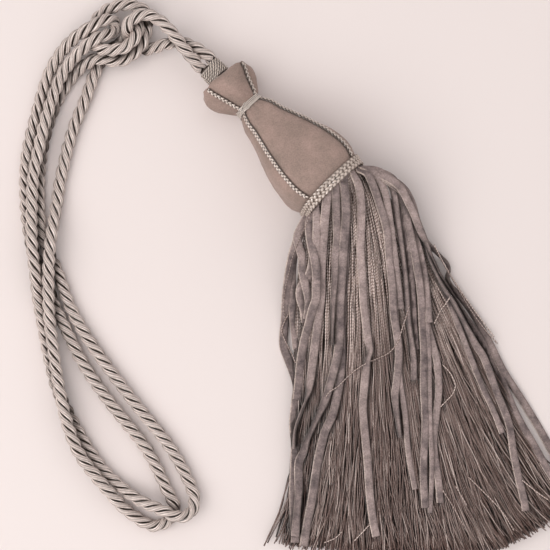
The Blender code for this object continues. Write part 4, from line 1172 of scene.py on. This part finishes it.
def make_yarns(heights, lines):
    """The yarn of the skirt in three pieces, with painted shade where other threads and ribbons lie over or
    beside it, and between its locks.
    """
    draw = random.Random(YARN_SEED + 1)
    skins = [Skin(), Skin(), Skin()]
    for line, t, number, painted_hollow_shade in lines:
        spun = 1.0 - smoothstep((t - YARN_OPENS) / YARN_OPENING) * YARN_OPENED
        # Painted shade where the pile's top or nearby threads lie higher, and between locks.
        above = np.clip((heights.at(line) - line[:, 2]) / YARN_SHADOW_DEPTH, 0.0, 1.0)
        beside = heights.covers(line, YARN_BESIDE_DEPTH, 0.5)
        covered = np.maximum(above * (1.0 - 0.25 * spun), beside * (1.0 - 0.35 * spun))
        covered = np.maximum(covered, LOCK_SHADE * painted_hollow_shade * spun)
        radius = YARN_RADIUS * (0.85 + 0.3 * draw.random()) * (0.74 + 0.42 * spun)
        add_yarn(skins[number], line, radius, covered, draw.random(), spun)
    for skin, name in zip(skins, ("skirt_yarn_1", "skirt_yarn_2", "skirt_yarn_under")):
        skin.make(name, YARN_SILK, "yarn", "yarn_skirt")


def lay_ribbon(heights, root_deg, width, places, rock):
    """Rings of one ribbon from the base's rim, laid over what is already there."""
    angle = math.radians(root_deg)
    root = rim_point(angle, RIBBON_ROOT_RADIUS)
    rim_way = ACROSS * math.cos(angle) - UP * math.sin(angle)
    curve = smooth_curve([(root[0], root[1], 0.0)] + [(*place, 0.0)[:3] for place in places])
    reach = reach_along(curve * np.array((1.0, 1.0, 0.0)))
    at = np.linspace(0.0, reach[-1], max(3, round(reach[-1] / RIBBON_STEP) + 1))
    x, y, roll = (np.interp(at, reach, column) for column in curve.T)
    zeros = np.zeros(len(at))
    plan = np.column_stack((x, y, zeros))
    slow, quick = RIBBON_ROCK_LENGTHS
    rocking = np.sin(at / (slow + 9.0 * rock) + 40.0 * rock) + 0.5 * np.sin(at / quick + 70.0 * rock)
    rocking = RIBBON_ROCK_DEG * (rocking + 0.4) * smoothstep((at - RIBBON_FREE) / 25.0)
    roll = np.radians(running_mean(roll, 2) + rocking)
    way = directions(plan)
    level = np.column_stack((-way[:, 1], way[:, 0], zeros))
    half = width / 2
    under = [heights.at(plan + level * half * share * np.cos(roll)[:, None]) for share in RIBBON_FEELERS]
    top = np.mean(np.sort(under, axis=0)[1:], axis=0)
    fall = smoothstep(at / RIBBON_FALL_LENGTH)
    free = root[2] + (RIBBON_THICK - root[2]) * fall
    lying = np.maximum(free * (fall < 1.0), top - RIBBON_SINK + RIBBON_THICK / 2)
    lying = running_mean(np.where(at < RIBBON_FREE, free, lying), RIBBON_SMOOTH)
    lying = np.maximum(lying, RIBBON_THICK / 2) + half * np.abs(np.sin(roll))
    line = np.column_stack((plan[:, :2], lying))
    line[0] = root
    way = directions(line)
    way[0] = ALONG
    turned = smoothstep(at / RIBBON_TURN_LENGTH)[:, None]
    flat = square_to(way, rim_way * (1.0 - turned) + level * turned)
    across = flat * np.cos(roll)[:, None] + np.cross(way, flat) * np.sin(roll)[:, None]
    section = RIBBON_SECTION[:, :2] * np.array((half, RIBBON_THICK / 2))
    rings = swept(line, across, np.cross(way, across), section[None])
    heights.raise_to(rings[3:], (0.0, 0.33, 0.67))
    return rings, at


def make_ribbons(heights):
    """Long suede ribbons over the yarn, each laid on those before it, with painted shade where others lie
    higher and painted light close to the root.
    """
    draw = random.Random(RIBBON_SEED)
    laid = [
        lay_ribbon(heights, root_deg, width, places, draw.random()) for root_deg, width, *places in RIBBONS
    ]
    # Paler edges from wear, with painted light on the minus side; own is painted shade on the plus side and
    # underside.
    worn_and_lit, own = RIBBON_SECTION[None, :, 2], RIBBON_SECTION[None, :, 3]
    skin = Skin()
    for rings, along in laid:
        # Painted shade where other ribbons lie higher, with less of it close to the root.
        lit = 0.4 + 0.6 * smoothstep(along / RIBBON_FALL_LENGTH)
        covered = np.maximum(heights.covers(rings, RIBBON_SHADOW_DEPTH, 0.5), own) * lit[:, None]
        # Painted light close to the root.
        painted_root_light = 1.0 - smoothstep((along - RIBBON_NEAR) / RIBBON_FALL_LENGTH)
        skin.add_tube(rings, along, shade=worn_and_lit, tint=draw.random(), spun=painted_root_light[:, None], covered=covered)
    skin.make("skirt_ribbons", RIBBON_SUEDE, "ribbon", "ribbon_skirt")


def make_loose_threads(heights):
    """Single yarns that have strayed over the skirt and beside it."""
    skin = Skin()
    draw = random.Random(THREAD_SEED)
    for root_deg, *places in LOOSE_THREADS:
        path = even_points(smooth_curve([(x, y, 0.0) for x, y in places]), 2.0)
        tops = np.maximum.reduce([heights.at(path + np.array(step)) for step in THREAD_CLEAR])
        path[:, 2] = running_mean(tops, 3) + THREAD_RADIUS
        if root_deg is not None:
            root = rim_point(math.radians(root_deg), RIBBON_ROOT_RADIUS)
            fall = smoothstep(reach_along(path) / RIBBON_FALL_LENGTH)
            path[:, 2] = np.maximum(path[:, 2], root[2] * (1.0 - fall))
            path = np.concatenate((root[None, :], path))
        tint = THREAD_TINT + 0.2 * draw.random()
        add_yarn(skin, path, THREAD_RADIUS, 0.0, tint, np.full(len(path), THREAD_SPUN))
    skin.make("loose_threads", YARN_SILK, "yarn")


# ---- table, light and camera ----

def make_table():
    """The plain pale table."""
    mesh = bpy.data.meshes.new("table")
    corners = [(x * TABLE_HALF, y * TABLE_HALF, 0.0) for x, y in ((-1, -1), (1, -1), (1, 1), (-1, 1))]
    mesh.from_pydata(corners, [], [(0, 1, 2, 3)])
    material, tree = new_material("table_paint", roughness=0.75)
    set_shader(tree, {"Base Color": TABLE_COLOUR})
    mesh.materials.append(material)
    show("table", mesh)


def make_light_and_camera():
    """Three square lamps that face the tassel, a pale room, and the camera above."""
    for name, place, size, power, colour in LAMPS:
        lamp = bpy.data.lights.new(name, "AREA")
        lamp.shape = "SQUARE"
        lamp.size = size
        lamp.energy = power
        lamp.color = colour
        holder = show(name, lamp)
        holder.location = place
        holder.rotation_euler = (Vector(LAMP_TARGET) - Vector(place)).to_track_quat("-Z", "Y").to_euler()
        holder.visible_diffuse = name != "gloss_light"
    world = bpy.data.worlds.new("studio")
    world.use_nodes = True
    room = world.node_tree
    put(room, room.nodes["Background"].inputs["Color"], ROOM_COLOUR)
    put(room, room.nodes["Background"].inputs["Strength"], ROOM_STRENGTH)
    scene = bpy.context.scene
    scene.world = world
    scene.view_settings.view_transform = "Standard"
    camera = bpy.data.cameras.new("camera")
    camera.angle = 2.0 * math.atan(VIEW_WIDTH / 2.0 / CAMERA_PLACE[2])
    scene.camera = show("camera", camera)
    scene.camera.location = Vector(CAMERA_PLACE) * METRES


make_light_and_camera()
make_rope()
make_bell()
make_seam_plaits()
make_waist_cord()
make_base_band()
make_whipping()
skirt_heights = HeightMap(SKIRT_MAP_CORNER, SKIRT_MAP_SIZE)
yarn_lines = lay_yarns(skirt_heights)
make_ribbons(skirt_heights)
make_yarns(skirt_heights, yarn_lines)
make_loose_threads(skirt_heights)
make_table()
